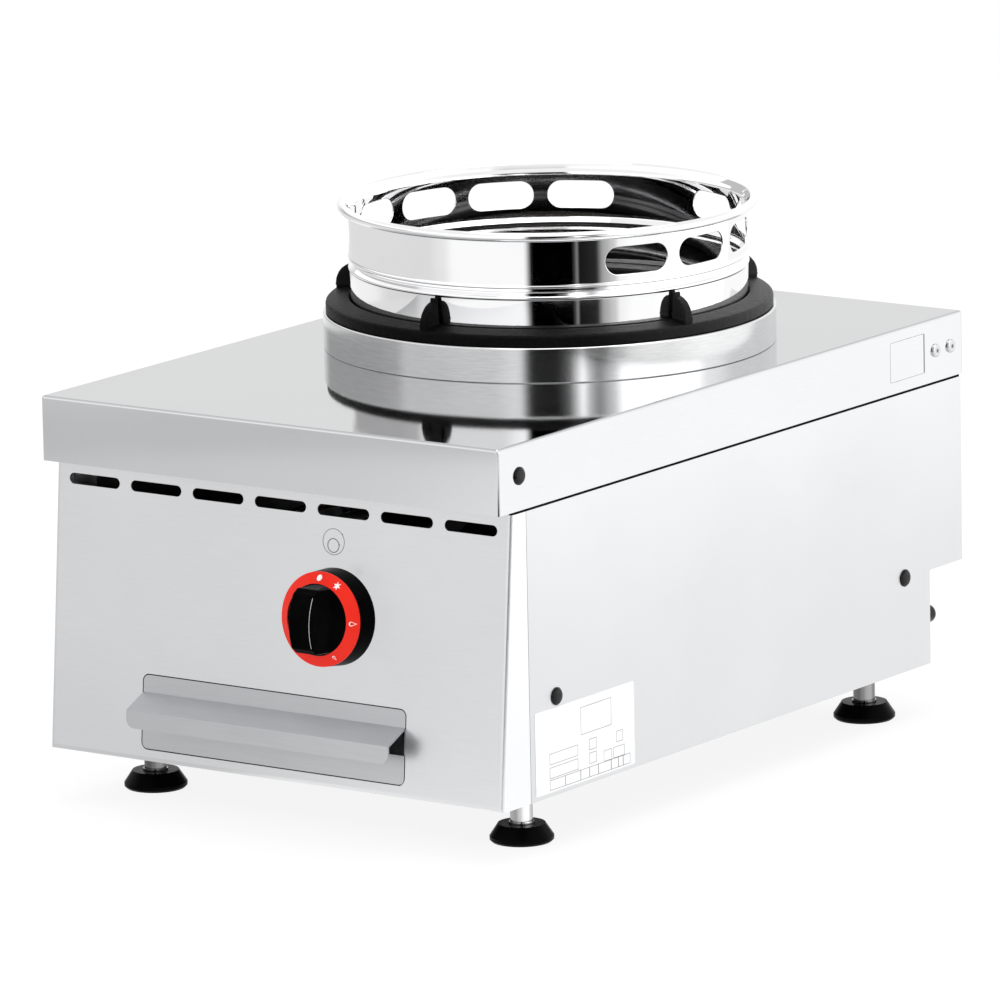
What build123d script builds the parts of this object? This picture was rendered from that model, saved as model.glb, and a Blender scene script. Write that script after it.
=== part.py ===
from build123d import *
import math
import os

# ------------------------------------------------------------------ driving sizes, in mm
# X runs across the range, Y from the front edge of the worktop to the back, Z up from the floor.

# Overall
width = 400
depth = 600
lip_height = 47.4
housing_height = 211.6
foot_gap = 39.4                 # from the floor to the underside of the housing

# Sheet metal
worktop_sheet = 1.5
panel_sheet = 1.5
tray_sheet = 1.2
lip_bend = 2.2                  # outside radius of the folded worktop edges
lip_return = 22                 # inward fold along the bottom of the lip
seal_thickness = 2.0
side_set_in = 0.5               # housing sides sit this far inside the worktop's edge
rear_set_in = 3.0
seal_set_in = 0.8
seal_tail_width = 3             # where the seal runs on above the front panel's side folds
fold_gap = 1                    # between the folds of neighbouring panels

# Sloping front panel
panel_top_y = 16.5
panel_bottom_y = -1.5
panel_bend = 3.5
cheek_back_y = 33               # where the front panel's side folds meet the side panels
panel_joint = 0.4

# Louvre slots across the top of the front panel
louvre_margin = 11              # least plain panel beside the row
louvre_pitch = 55
louvre_length = 45
louvre_height = 8
louvre_down = 14.3              # centre line below the panel's top edge, along the slope

# Recess for the gas connection at the lower back
recess_depth = 45
recess_height = 70.7
panel_hole_play = 0.3           # round the gas inlet

# Burner ring stack, centred on the worktop hole
burner_y = 352
burner_hole_radius = 152
skirt_radius = 166
skirt_height = 25.8
skirt_flange = 11
skirt_sheet = 1.5

# Cast-iron trivet ring
trivet_radius = 164
trivet_inner_radius = 125
trivet_edge_height = 7
trivet_shoulder_height = 8.4
trivet_crown_height = 10.2
trivet_shoulder = 2.4
trivet_chamfer = 0.6
trivet_rib_play = 1.5           # between the locating rib and the skirt's flange
trivet_seat_drop = 4.6          # wok ring seat below the crown
trivet_seat_play = 0.6          # round the wok ring
trivet_web = 7
trivet_rib_depth = 9
trivet_rib_width = 5
lug_count = 5
lug_first_angle = 271
lug_thickness = 8.4             # across each upright lug at the crown
lug_top_thickness = 5.6
lug_height = 19.7
lug_reach = 14.5                # from its inner edge outwards, at the crown
lug_tip = 2.2                   # thickness of the tip that stands against the wok ring
lug_tip_height = 2.9
lug_bulge = 3.3                 # of its curved back
lug_play = 0.4                  # between the lugs and the wok ring's ridges
lug_edge_round = 1.2

# Wok ring
wok_ring_radius = 146.2
wok_ring_height = 75
wok_ring_sheet = 1.5
wok_bead_radius = 3.4
wok_rim_radius = 153.8
wok_groove_height = 30.3        # middle of the groove above the ring's foot
wok_groove_width = 4
wok_groove_depth = 2.6
wok_groove_run = 1.7            # height of each slope beside the groove
wok_ridge = 1.2
wok_foot_taper = 0.6
wok_flare_height = 4.4          # from the start of the flare to the middle of the rim bead
wok_flare_step = 1.6
wok_flare_lap = 0.8
wok_slot_middle_angle = 91
wok_slot_positions = 15
wok_slots_each_side = 5
wok_slot_length = 50.5
wok_slot_height = 20.3
wok_slot_centre_height = 51.2

# Burner
burner_head_radius = 76
burner_head_drop = 24           # rim of the burner body below the worktop
burner_wall = 5
burner_bowl_depth = 26
burner_bowl_rise = 8            # how far the bowl's cone runs above and below its middle
burner_throat_radius = 34
burner_throat_depth = 62
crown_radius = 66
crown_inner_radius = 36
crown_height = 19
crown_wall = 5
crown_port_count = 28
crown_port_width = 3
crown_port_height = 9
crown_seat_width = 2            # of the burner's rim inside the crown
gas_hole_count = 7
gas_hole_radius = 2.5
gas_hole_inset = 5              # from the crown's inside wall
cap_radius = 64
cap_thickness = 5.5
cap_rim_thickness = 3.5
cap_slope = 4
cap_spigot_height = 6
cap_spigot_play = 1
cap_boss_radius = 16
cap_boss_height = 5
cap_boss_edge = 3
venturi_drop = 86               # axis below the worktop
venturi_radius = 21
venturi_wall = 2.5
venturi_mouth_radius = 30
venturi_mouth_length = 14
venturi_mouth_lip = 2
venturi_mouth_curve = 3
venturi_front_y = 152
shutter_length = 26
shutter_wall = 1.5
shutter_set_back = 3
shutter_flange = 2
injector_hex_across = 16
injector_hex_length = 14.4
injector_nose_radius = 5
injector_nose_length = 9.6
injector_nose_wall = 3
injector_gap = 6                # from the injector's nose to the venturi mouth
injector_bore_radius = 1.6

# Burner well and spill funnel
well_radius = 149
well_depth = 118
well_sheet = 1.2
well_flange = 9
well_hole_play = 4              # round the venturi
funnel_flange = 6
funnel_radius = 104
funnel_gap = 3                  # above the drip tray's walls
strap_width = 30
strap_thickness = 3
strap_play = 0.2

# Gas tap and knob
knob_x = 52.9
knob_down = 88.6
knob_radius = 34.8
knob_ring_radius = 33.8         # the knob narrows towards its ring
knob_gap = 3.4                  # free space behind the knob at rest
knob_drum_depth = 17.8
knob_cone_rise = 4.7
knob_inner_radius = 25.7
knob_ring_thickness = 1.2
knob_dish = 1.5
knob_dish_slope = 1
grip_width = 19.2
grip_reach = 19.5
grip_height = 42
grip_arch = 4.3
grip_foot = 24.5
grip_taper = 1.5
grip_shoulder = 5
grip_edge_round = 1
push_in = 2.6
spindle_radius = 4
spindle_inside_knob = 12
spindle_hole_radius = 6
spindle_play = 0.3
spindle_end_gap = 0.6           # left between spindle and plug with the knob pushed in
tongue_width = 3
tongue_length = 8
tongue_play = 0.3
tap_behind = 26                 # bonnet face behind the front panel
tap_block = 30
tap_block_height = 34
tap_block_depth = 40
bonnet_thickness = 4
bonnet_height = 46
bonnet_corner = 4
tap_screw_radius = 2.5
tap_screw_height = 2
tap_screw_inset = 4
tap_line_x = 6                  # pilot lines enter the tap this far from its middle
plug_radius = 9
plug_length = 30
plug_play = 0.3
plug_port_radius = 3
plug_port_back = 22.5           # from the plug's front to its gas way
tap_bracket_height = 60
tap_bracket_play = 0.3
tap_bracket_fold = 14

# Gas pipes
supply_inset = 49.5             # pipe axis from the side panel
supply_up = 38.6                # pipe axis above the underside of the housing
supply_bend = 22
pipe_play = 0.05                # between the supply pipe and the inlet's bore
gas_inlet_radius = 10.5
gas_inlet_length = 22
gas_inlet_bore = 7.5
gas_neck_radius = 9.8           # where the inlet passes through the panel
gas_nut_across = 30
gas_nut_thickness = 9
gas_locknut_thickness = 5
feed_pipe_radius = 4
feed_bend = 14
feed_wall = 1
supply_wall = 1.2

# Pilot group
pilot_angle = 205
pilot_reach = 92                # distance of the pilot from the burner's axis
pilot_spread = 16
pilot_radius = 5
pilot_height = 34
pilot_hood_length = 13
pilot_hood_thickness = 3
pilot_hood_shift = 4            # towards the burner
thermocouple_radius = 3.2
thermocouple_height = 40
thermocouple_tip_round = 2.5
electrode_radius = 3.6
electrode_height = 30
electrode_pin_radius = 1.1
electrode_pin_height = 12
pilot_plate_width = 52
pilot_plate_depth = 16
pilot_plate_thickness = 2
pilot_plate_drop = 62
lead_radius = 1.6
lead_bend = 7
lead_run_y = 100
lead_run_spacing = 8
pilot_lead_drop = 38.4
pilot_lead_hole = 11
igniter_width = 18
igniter_length = 42
igniter_corner = 3
igniter_gap = 6                 # from the tap

# Drip tray
tray_centre_x = -1.5
tray_opening_width = 232
tray_opening_height = 55
tray_opening_up = 9.06          # lower edge above the panel's bottom edge, along the slope
tray_opening_corner = 5.5
tray_gap = 0.8                  # between the tray's front and the panel opening
tray_back_gap = 50.5            # from the tray to the recess panel
tray_bend = 3                   # outside radius of the pan's folded edges
tray_wall_height = 44
tray_back_height = 34
tray_face_band = 12.5           # flat band above the handle fold
tray_handle_out = 20
tray_handle_drop = 11
tray_handle_lip = 12.9
tray_handle_corner = 7
tray_window = 20                # open height behind the handle
runner_gap = 0.4                # under the tray
runner_side_gap = 0.8
runner_end_gap = 5
runner_shelf = 14
runner_upstand = 21.4           # guide wall above the shelf
runner_foot = 14

# Feet
foot_inset = 37.5               # from the side panel
foot_front_y = 74
foot_rear_inset = 81.5          # from the worktop's back edge
stem_radius = 8.1
stem_flange_radius = 9.2
stem_flange_height = 1
stem_clearance = 0.3
pad_radius = 23
pad_top_radius = 17
pad_height = 13
pad_base_height = 4
pad_edge = 1.6
rod_radius = 5
foot_travel = 18
rod_play = 0.5
foot_bracket_length = 60
foot_bracket_width = 43
foot_bracket_leg = 4
foot_bracket_thickness = 3
foot_bracket_gap = 0.4          # from the base pan's side fold
foot_nut_across = 17
foot_nut_thickness = 8

# Base pan
pan_upstand = 16
pan_tongue = 13                 # reaches forward under the front panel's back edge
pan_tray_gap = 3                # from the pan's front fold to the tray
pan_vent_width = 90
pan_vent_length = 300
pan_vent_corner = 12
pan_vent_spacing = 108

# Small fittings on the outside
plug_dome_radius = 6.5
plug_dome_height = 2.2
plug_dome_edge = 0.6
plug_dome_shoulder = 0.8        # share of the dome's radius and height at its shoulder
plug_dome_crown = 0.4           # share of the radius at the flat top
plug_stem_radius = 5
plug_stem_length = 4
lip_plug_y = 25.1
lip_plug_down = 22.6
side_plug_front_y = 66.2
side_plug_rear_inset = 82
side_plug_up = 71               # above the underside of the housing
cover_inset = 75.8              # from the worktop's back edge
cover_down = 23.8
cover_length = 46.6
cover_height = 29.9
cover_thickness = 0.8
cover_corner = 1
cover_lap = 4                   # behind the lip, round its window
cover_gap = 0.3                 # between the cover's raised field and the window
cover_rear_gap = 1.3
link_screw_insets = (37.7, 17.3)
link_screw_down = 24.2
link_screw_radius = 5
link_screw_height = 1.9
link_socket_across = 3
link_socket_depth = 1.2
label_y = 100.4
label_up = 33.2
label_length = 122.8
label_height = 60.2
label_thickness = 0.3
label_corner = 1.5
bumper_inset = 7.6              # from the side panel
bumper_up = 35.5
bumper_radius = 7
bumper_height = 12
bumper_round = 4.5
rear_screw_radius = 4
rear_screw_height = 2.2
rear_screw_shank_radius = 2
rear_screw_length = 8
rear_screw_play = 0.1
rear_screw_inset = 14
head_round = 0.6                # share of a screw head's height that is rounded
rear_vent_count = 9
rear_vent_pitch = 34
rear_vent_length = 60
rear_vent_width = 6
seat_clearance = 0.3            # between parts that lift off each other
past = 1                        # cutters run this far past the faces that they cut
sunk = 1                        # joined shapes run this far into each other

# ------------------------------------------------------------------ sizes that follow
housing_bottom_z = foot_gap
lip_bottom_z = housing_bottom_z + housing_height
worktop_height = lip_bottom_z + lip_height
side_x = width / 2 - side_set_in
side_top_z = lip_bottom_z - seal_thickness
rear_y = depth - rear_set_in
recess_y = rear_y - recess_depth
recess_top_z = housing_bottom_z + recess_height

panel_drop = housing_height
panel_lean = panel_top_y - panel_bottom_y
panel_slope = math.degrees(math.atan2(panel_lean, panel_drop))
panel_length = math.hypot(panel_lean, panel_drop)
front_face = Plane(
    origin=(0, panel_top_y, lip_bottom_z),
    x_dir=(1, 0, 0),
    z_dir=(0, -math.cos(math.radians(panel_slope)), math.sin(math.radians(panel_slope))),
)

louvre_count = math.floor((2 * (side_x - louvre_margin) - louvre_length) / louvre_pitch) + 1

skirt_top_z = worktop_height + skirt_height
trivet_z = skirt_top_z + seat_clearance
trivet_crown_z = trivet_z + trivet_crown_height
wok_seat_z = trivet_crown_z - trivet_seat_drop
wok_foot_z = wok_seat_z + seat_clearance
wok_bead_z = wok_foot_z + wok_ring_height - wok_bead_radius
lug_inner_radius = wok_ring_radius + wok_ridge + lug_play
burner_rim_z = worktop_height - burner_head_drop
venturi_z = worktop_height - venturi_drop
crown_z = burner_rim_z + seat_clearance
cap_z = crown_z + crown_height + seat_clearance
well_bottom_z = worktop_height - worktop_sheet - well_depth

tray_opening_down = panel_length - tray_opening_up - tray_opening_height
tray_down_to_bottom = tray_opening_down + tray_opening_height - tray_gap
tray_bottom_z = lip_bottom_z - tray_down_to_bottom * math.cos(math.radians(panel_slope))
tray_top_z = tray_bottom_z + tray_wall_height
funnel_bottom_z = tray_top_z + funnel_gap
tray_face_width = tray_opening_width - 2 * tray_gap
tray_half = tray_face_width / 2
shelf_z = tray_bottom_z - runner_gap
pan_top_z = housing_bottom_z + panel_sheet
supply_x = side_x - supply_inset
supply_z = housing_bottom_z + supply_up
bumper_x = side_x - bumper_inset
side_plug_ys = (side_plug_front_y, depth - side_plug_rear_inset)
side_plug_z = housing_bottom_z + side_plug_up
cover_y = depth - cover_inset
cover_z = worktop_height - cover_down
seal_tail_x = side_x - seal_tail_width

knob_front_ring = knob_gap + knob_drum_depth
knob_inner_height = knob_front_ring + knob_cone_rise

# Heights out from the front panel; behind it they are negative.
tap_face = -tap_behind - bonnet_thickness
tap_rear = tap_face - tap_block_depth
spindle_end = tap_face - push_in - spindle_end_gap
tap_plug_front = spindle_end - push_in - spindle_end_gap
tap_port_out = tap_plug_front - plug_port_back
igniter_x = knob_x - tap_block / 2 - igniter_gap - igniter_width / 2
injector_back_y = venturi_front_y - injector_gap - injector_nose_length - injector_hex_length
burner_floor_z = burner_rim_z - burner_bowl_depth - burner_throat_depth
pilot_plate_z = worktop_height - pilot_plate_drop
pilot_lead_z = pilot_plate_z - pilot_lead_drop

foot_x = side_x - foot_inset
foot_rear_y = depth - foot_rear_inset
foot_places = {
    "front_left": (-foot_x, foot_front_y),
    "front_right": (foot_x, foot_front_y),
    "rear_left": (-foot_x, foot_rear_y),
    "rear_right": (foot_x, foot_rear_y),
}


# ------------------------------------------------------------------ helpers
def block(x_low, x_high, y_low, y_high, z_low, z_high):
    size = Box(x_high - x_low, y_high - y_low, z_high - z_low)
    return Pos((x_low + x_high) / 2, (y_low + y_high) / 2, (z_low + z_high) / 2) * size


def upright(radius, z_low, z_high, x=0, y=0):
    return Pos(x, y, (z_low + z_high) / 2) * Cylinder(radius, z_high - z_low)


def between(start, end, radius):
    start = Vector(*start)
    run = Vector(*end) - start
    middle = start + run * 0.5
    return Plane(origin=middle, z_dir=run.normalized()) * Cylinder(radius, run.length)


def turned(points, y=burner_y):
    """A round part: points are (radius, height) around the upright axis at y."""
    section = Plane.XZ * Polygon(*points, align=None)
    return Pos(0, y, 0) * revolve(section, Axis.Z, 360)


def around(radius, angle, z=0):
    """A place on the circle of that radius around the burner's axis."""
    turn = math.radians(angle)
    return (radius * math.cos(turn), burner_y + radius * math.sin(turn), z)


def extruded_across(points, x_low, x_high):
    """A (y, z) outline stretched from x_low to x_high."""
    outline = Plane.YZ * Polygon(*points, align=None)
    return Pos(x_low, 0, 0) * extrude(outline, x_high - x_low, dir=(1, 0, 0))


def on_front(x, down, out=0):
    """Local frame of the sloping front: X across, Y up the slope, Z outwards."""
    return front_face * Pos(x, -down, out)


def front_point(x, down, out=0):
    return on_front(x, down, out).position


def pipe(points, radius, bend, wall):
    path = FilletPolyline(*points, radius=bend)
    start = Plane(origin=path @ 0, z_dir=path % 0)
    outside = sweep(start * Circle(radius), path=path)
    inside = sweep(start * Circle(radius - wall), path=path)
    return outside - inside


def both_sides(shape):
    return [shape, mirror(shape, about=Plane.YZ)]


# ------------------------------------------------------------------ worktop and ring stack
def make_worktop():
    outer = block(-width / 2, width / 2, 0, depth, lip_bottom_z, worktop_height)
    bends = outer.edges().filter_by(Axis.Z) + outer.faces().sort_by(Axis.Z)[-1].edges()
    outer = fillet(bends, lip_bend)
    inner = block(
        -width / 2 + worktop_sheet, width / 2 - worktop_sheet,
        worktop_sheet, depth - worktop_sheet,
        lip_bottom_z, worktop_height - worktop_sheet,
    )
    bends = inner.edges().filter_by(Axis.Z) + inner.faces().sort_by(Axis.Z)[-1].edges()
    inner = fillet(bends, lip_bend - worktop_sheet)
    fold = block(
        -width / 2 + worktop_sheet, width / 2 - worktop_sheet,
        worktop_sheet, depth - worktop_sheet,
        lip_bottom_z, lip_bottom_z + worktop_sheet,
    )
    fold = fillet(fold.edges().filter_by(Axis.Z), lip_bend - worktop_sheet)
    fold -= block(
        -width / 2 + lip_return, width / 2 - lip_return,
        lip_return, depth - lip_return,
        lip_bottom_z - past, lip_bottom_z + worktop_sheet + past,
    )
    hole = upright(burner_hole_radius, worktop_height - 2 * worktop_sheet, worktop_height + past, 0, burner_y)
    plug_z = worktop_height - lip_plug_down
    plug_holes = between((-width, lip_plug_y, plug_z), (width, lip_plug_y, plug_z), plug_stem_radius)
    window = extrude(RectangleRounded(cover_length, cover_height, cover_corner), width, both=True)
    window = sideways(0, cover_y, cover_z) * window
    return outer - inner + fold - hole - plug_holes - window


def make_burner_skirt():
    inner = skirt_radius - skirt_sheet
    flange_inner = skirt_radius - skirt_flange
    return turned([
        (skirt_radius, worktop_height),
        (skirt_radius, skirt_top_z),
        (flange_inner, skirt_top_z),
        (flange_inner, skirt_top_z - skirt_sheet),
        (inner, skirt_top_z - skirt_sheet),
        (inner, worktop_height + skirt_sheet),
        (flange_inner, worktop_height + skirt_sheet),
        (flange_inner, worktop_height),
    ])


def trivet_lug(angle):
    """An upright fin in line with the burner's axis: a curved back and a small tip against the wok ring."""
    root = -trivet_seat_drop
    shoulder = (lug_inner_radius + lug_tip, lug_height - lug_tip_height)
    toe = (lug_inner_radius + lug_reach, 0)
    corner = (lug_inner_radius, shoulder[1])
    with BuildSketch(Plane.XZ) as side_view:
        with BuildLine():
            SagittaArc(shoulder, toe, lug_bulge)
            Polyline(toe, (toe[0], root), (lug_inner_radius, root), corner, shoulder)
        make_face()
    fin = extrude(side_view.sketch, lug_thickness, both=True)
    half = lug_thickness / 2
    half_top = lug_top_thickness / 2
    side = [(half, root), (half, 0), (half_top, lug_height)]
    front_view = side + [(-x, z) for x, z in reversed(side)]
    fin &= extruded_across(front_view, 0, lug_inner_radius + lug_reach + past)
    back = [edge for edge in fin.edges() if edge.geom_type != GeomType.LINE]
    fin = fillet(back, lug_edge_round)
    fin += extruded_across(front_view, lug_inner_radius, shoulder[0])
    return Pos(0, burner_y, trivet_crown_z) * Rot(0, 0, angle) * fin


def make_trivet_ring():
    seat_radius = wok_ring_radius + trivet_seat_play
    rib_outer = skirt_radius - skirt_flange - trivet_rib_play
    rib_inner = rib_outer - trivet_rib_width
    ring = turned([
        (trivet_inner_radius, wok_seat_z),
        (seat_radius, wok_seat_z),
        (seat_radius, trivet_crown_z - trivet_chamfer),
        (seat_radius + trivet_chamfer, trivet_crown_z),
        (trivet_radius - trivet_shoulder, trivet_z + trivet_shoulder_height),
        (trivet_radius, trivet_z + trivet_edge_height),
        (trivet_radius, trivet_z),
        (rib_outer, trivet_z),
        (rib_outer, trivet_z - trivet_rib_depth),
        (rib_inner, trivet_z - trivet_rib_depth),
        (rib_inner, wok_seat_z - trivet_web),
        (trivet_inner_radius, wok_seat_z - trivet_web),
    ])
    for index in range(lug_count):
        ring += trivet_lug(lug_first_angle + index * 360 / lug_count)
    return ring


def wok_wall(offset):
    """Points (radius, height) up the wall from foot to flare, moved in by offset."""
    body = wok_ring_radius - offset
    groove = body - wok_groove_depth
    ridge = body + wok_ridge
    low = wok_foot_z + wok_groove_height - wok_groove_width / 2
    high = wok_foot_z + wok_groove_height + wok_groove_width / 2
    return [
        (body - wok_foot_taper, wok_foot_z),
        (body, low - 2 * wok_groove_run),
        (ridge, low - wok_groove_run),
        (groove, low + wok_groove_run),
        (groove, high - wok_groove_run),
        (ridge, high + wok_groove_run),
        (body, high + 2 * wok_groove_run),
        (body, wok_bead_z - wok_flare_height),
        (body + wok_flare_step, wok_bead_z - wok_flare_height / 3),
        (wok_rim_radius - wok_bead_radius - offset, wok_bead_z - wok_flare_lap),
    ]


def make_wok_ring():
    outside = wok_wall(0)
    inside = wok_wall(wok_ring_sheet)
    ring = turned(outside + inside[::-1])
    bead_at = wok_rim_radius - wok_bead_radius
    bead = revolve(Plane.XZ * Pos(bead_at, wok_bead_z) * Circle(wok_bead_radius), Axis.Z, 360)
    ring += Pos(0, burner_y, 0) * bead
    slot = extrude(SlotOverall(wok_slot_length, wok_slot_height), wok_ring_radius / 4, both=True)
    step = 360 / wok_slot_positions
    for index in range(1, wok_slots_each_side + 1):
        for side in (-1, 1):
            angle = wok_slot_middle_angle + side * index * step
            centre = around(wok_ring_radius, angle, wok_foot_z + wok_slot_centre_height)
            outward = Vector(*around(1, angle)) - Vector(0, burner_y, 0)
            along = Vector(*around(1, angle + 90)) - Vector(0, burner_y, 0)
            ring -= Plane(origin=centre, x_dir=along, z_dir=outward) * slot
    return ring


# ------------------------------------------------------------------ housing
def make_front_panel():
    def wedge(inset, back):
        run = panel_lean / panel_drop
        top_z = lip_bottom_z - inset
        bottom_z = housing_bottom_z + inset
        skin = inset / math.cos(math.radians(panel_slope))
        top_y = panel_top_y - run * inset + skin
        bottom_y = panel_bottom_y + run * inset + skin
        half = side_x - inset
        outline = [(top_y, top_z), (back, top_z), (back, bottom_z), (bottom_y, bottom_z)]
        solid = extruded_across(outline, -half, half)
        sloped = solid.faces().sort_by(Axis.Y)[0]
        bends = sloped.edges().sort_by(Axis.Z)[:-1]
        return fillet(bends, panel_bend - inset)

    panel = wedge(0, cheek_back_y) - wedge(panel_sheet, cheek_back_y + past)
    louvre = SlotOverall(louvre_length, louvre_height)
    for index in range(louvre_count):
        x = (index - (louvre_count - 1) / 2) * louvre_pitch
        panel -= on_front(x, louvre_down) * extrude(louvre, 2 * panel_sheet, both=True)
    opening = RectangleRounded(tray_opening_width, tray_opening_height, tray_opening_corner)
    opening_down = tray_opening_down + tray_opening_height / 2
    panel -= on_front(tray_centre_x, opening_down) * extrude(opening, 2 * panel_sheet, both=True)
    panel -= on_front(knob_x, knob_down) * Cylinder(spindle_hole_radius, 4 * panel_sheet)
    notch = block(
        seal_tail_x, side_x + past, panel_top_y - panel_bend, cheek_back_y + past,
        side_top_z, lip_bottom_z + past,
    )
    return panel - both_sides(notch)


def make_side_panel(side):
    front_y = cheek_back_y + panel_joint
    outline = [
        (front_y, side_top_z),
        (rear_y, side_top_z),
        (rear_y, recess_top_z),
        (recess_y, recess_top_z),
        (recess_y, housing_bottom_z),
        (front_y, housing_bottom_z),
    ]
    panel = extruded_across(outline, side_x - panel_sheet, side_x)
    top_fold = block(
        side_x - lip_return + side_set_in, side_x - panel_sheet,
        front_y, rear_y - panel_sheet,
        side_top_z - panel_sheet, side_top_z,
    )
    front_fold = block(
        side_x - lip_return + side_set_in, side_x - panel_sheet,
        front_y + fold_gap, front_y + fold_gap + panel_sheet,
        housing_bottom_z + pan_upstand + fold_gap, side_top_z - panel_sheet,
    )
    holes = [
        between(
            (side_x - 3 * panel_sheet, y, side_plug_z),
            (side_x + panel_sheet, y, side_plug_z),
            plug_stem_radius,
        )
        for y in side_plug_ys
    ]
    panel = panel + top_fold + front_fold - holes
    return panel if side > 0 else mirror(panel, about=Plane.YZ)


def make_seal_strip():
    front_y = cheek_back_y + panel_joint
    inner_x = side_x - lip_return + side_set_in
    outer_x = side_x - seal_set_in
    strip = block(-outer_x, outer_x, front_y, rear_y - seal_set_in, side_top_z, lip_bottom_z)
    back_y = depth - lip_return
    strip -= block(-inner_x, inner_x, front_y - past, back_y, side_top_z - past, lip_bottom_z + past)
    tail = block(seal_tail_x, outer_x, panel_top_y + panel_sheet, front_y, side_top_z, lip_bottom_z)
    return strip + both_sides(tail)


def make_rear_panel():
    half = side_x - panel_sheet
    panel = block(-half, half, rear_y - panel_sheet, rear_y, recess_top_z, side_top_z)
    fold_half = side_x - lip_return + side_set_in
    panel += block(
        -fold_half, fold_half, depth - lip_return, rear_y - panel_sheet, side_top_z - panel_sheet, side_top_z
    )
    middle_z = (recess_top_z + side_top_z) / 2
    vent = extrude(SlotOverall(rear_vent_length, rear_vent_width), 2 * panel_sheet, both=True)
    for index in range(rear_vent_count):
        x = (index - (rear_vent_count - 1) / 2) * rear_vent_pitch
        panel -= Plane(origin=(x, rear_y, middle_z), x_dir=(0, 0, 1), z_dir=(0, 1, 0)) * vent
    hole_radius = rear_screw_shank_radius + rear_screw_play
    for x, z in rear_screw_places():
        panel -= between((x, rear_y - 2 * panel_sheet, z), (x, rear_y + past, z), hole_radius)
    return panel


def rear_screw_places():
    xs = (-side_x + rear_screw_inset, side_x - rear_screw_inset)
    zs = (recess_top_z + rear_screw_inset, side_top_z - rear_screw_inset)
    return [(x, z) for x in xs for z in zs]


def make_recess_panel():
    half = side_x - panel_sheet
    outline = [
        (rear_y - panel_sheet, recess_top_z),
        (rear_y - panel_sheet, recess_top_z + panel_sheet),
        (recess_y - panel_sheet, recess_top_z + panel_sheet),
        (recess_y - panel_sheet, pan_top_z),
        (recess_y, pan_top_z),
        (recess_y, recess_top_z),
    ]
    panel = extruded_across(outline, -half, half)
    bumper_z = housing_bottom_z + bumper_up
    holes = [
        (supply_x, supply_z, gas_neck_radius + panel_hole_play),
        (-bumper_x, bumper_z, plug_stem_radius),
        (bumper_x, bumper_z, plug_stem_radius),
    ]
    for x, z, radius in holes:
        panel -= between((x, recess_y - 2 * panel_sheet, z), (x, recess_y + past, z), radius)
    return panel


def make_base_pan():
    half = side_x - panel_sheet
    front_y = cheek_back_y + panel_joint
    pan = block(-half, half, front_y, recess_y, housing_bottom_z, pan_top_z)
    pan += block(-half, half, front_y, front_y + panel_sheet, pan_top_z, tray_bottom_z - pan_tray_gap)
    pan += block(
        -half + pan_tongue, half - pan_tongue, front_y - pan_tongue, front_y + panel_sheet,
        pan_top_z, pan_top_z + panel_sheet,
    )
    side_fold = block(
        half - panel_sheet, half, front_y + panel_sheet, recess_y - panel_sheet,
        pan_top_z, housing_bottom_z + pan_upstand,
    )
    pan += both_sides(side_fold)
    middle_y = (front_y + recess_y) / 2
    vent = RectangleRounded(pan_vent_width, pan_vent_length, pan_vent_corner)
    hole = Pos(pan_vent_spacing / 2, middle_y, housing_bottom_z) * extrude(vent, 3 * panel_sheet, both=True)
    pan -= both_sides(hole)
    for x, y in foot_places.values():
        pan -= upright(rod_radius + rod_play, housing_bottom_z - past, pan_top_z + past, x, y)
    return pan


def make_tray_runner(side):
    tray_side = tray_centre_x + side * tray_half
    web = tray_side + side * runner_side_gap
    low_y = cheek_back_y + panel_joint + panel_sheet + runner_end_gap
    high_y = recess_y - panel_sheet - runner_end_gap

    def strip(x_one, x_two, z_low, z_high):
        return block(min(x_one, x_two), max(x_one, x_two), low_y, high_y, z_low, z_high)

    shelf = strip(web - side * runner_shelf, web, shelf_z - panel_sheet, shelf_z)
    upright_web = strip(web, web + side * panel_sheet, pan_top_z, shelf_z + runner_upstand)
    foot = strip(web + side * panel_sheet, web + side * runner_foot, pan_top_z, pan_top_z + panel_sheet)
    return shelf + upright_web + foot


# ------------------------------------------------------------------ feet
def make_foot_brackets():
    """A raised plate with a nut over each foot."""
    inner = foot_x - foot_bracket_length / 2
    outer = side_x - 2 * panel_sheet - foot_bracket_gap
    half = foot_bracket_width / 2
    plate_z = pan_top_z + panel_sheet
    nut_z = plate_z + foot_bracket_thickness
    top_z = nut_z + foot_nut_thickness
    nut = extrude(RegularPolygon(foot_nut_across / 2, 6, major_radius=False), foot_nut_thickness)
    brackets = []
    for y in (foot_front_y, foot_rear_y):
        bracket = block(inner, outer, y - half, y + half, plate_z, nut_z)
        bracket += block(inner, outer, y - half, y - half + foot_bracket_leg, pan_top_z, plate_z)
        bracket += block(inner, outer, y + half - foot_bracket_leg, y + half, pan_top_z, plate_z)
        bracket += Pos(foot_x, y, nut_z) * nut
        bracket -= upright(rod_radius + rod_play, pan_top_z - past, top_z + past, foot_x, y)
        brackets += both_sides(bracket)
    return Compound(brackets)


def make_foot_stem(place):
    x, y = foot_places[place]
    low = pad_height + stem_clearance
    stem = upright(stem_radius, low, housing_bottom_z, x, y)
    stem += upright(stem_flange_radius, low, low + stem_flange_height, x, y)
    stem -= upright(rod_radius + rod_play, low - past, housing_bottom_z + past, x, y)
    return stem


def make_foot_pad(place):
    x, y = foot_places[place]
    pad = turned([
        (0, 0),
        (pad_radius - pad_edge, 0),
        (pad_radius, pad_edge),
        (pad_radius, pad_base_height),
        (pad_top_radius, pad_height),
        (0, pad_height),
    ], y)
    return Pos(x, 0, 0) * pad


def make_foot_rod(place):
    x, y = foot_places[place]
    nut_top = pan_top_z + panel_sheet + foot_bracket_thickness + foot_nut_thickness
    return upright(rod_radius, pad_height, nut_top + foot_travel, x, y)


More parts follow.
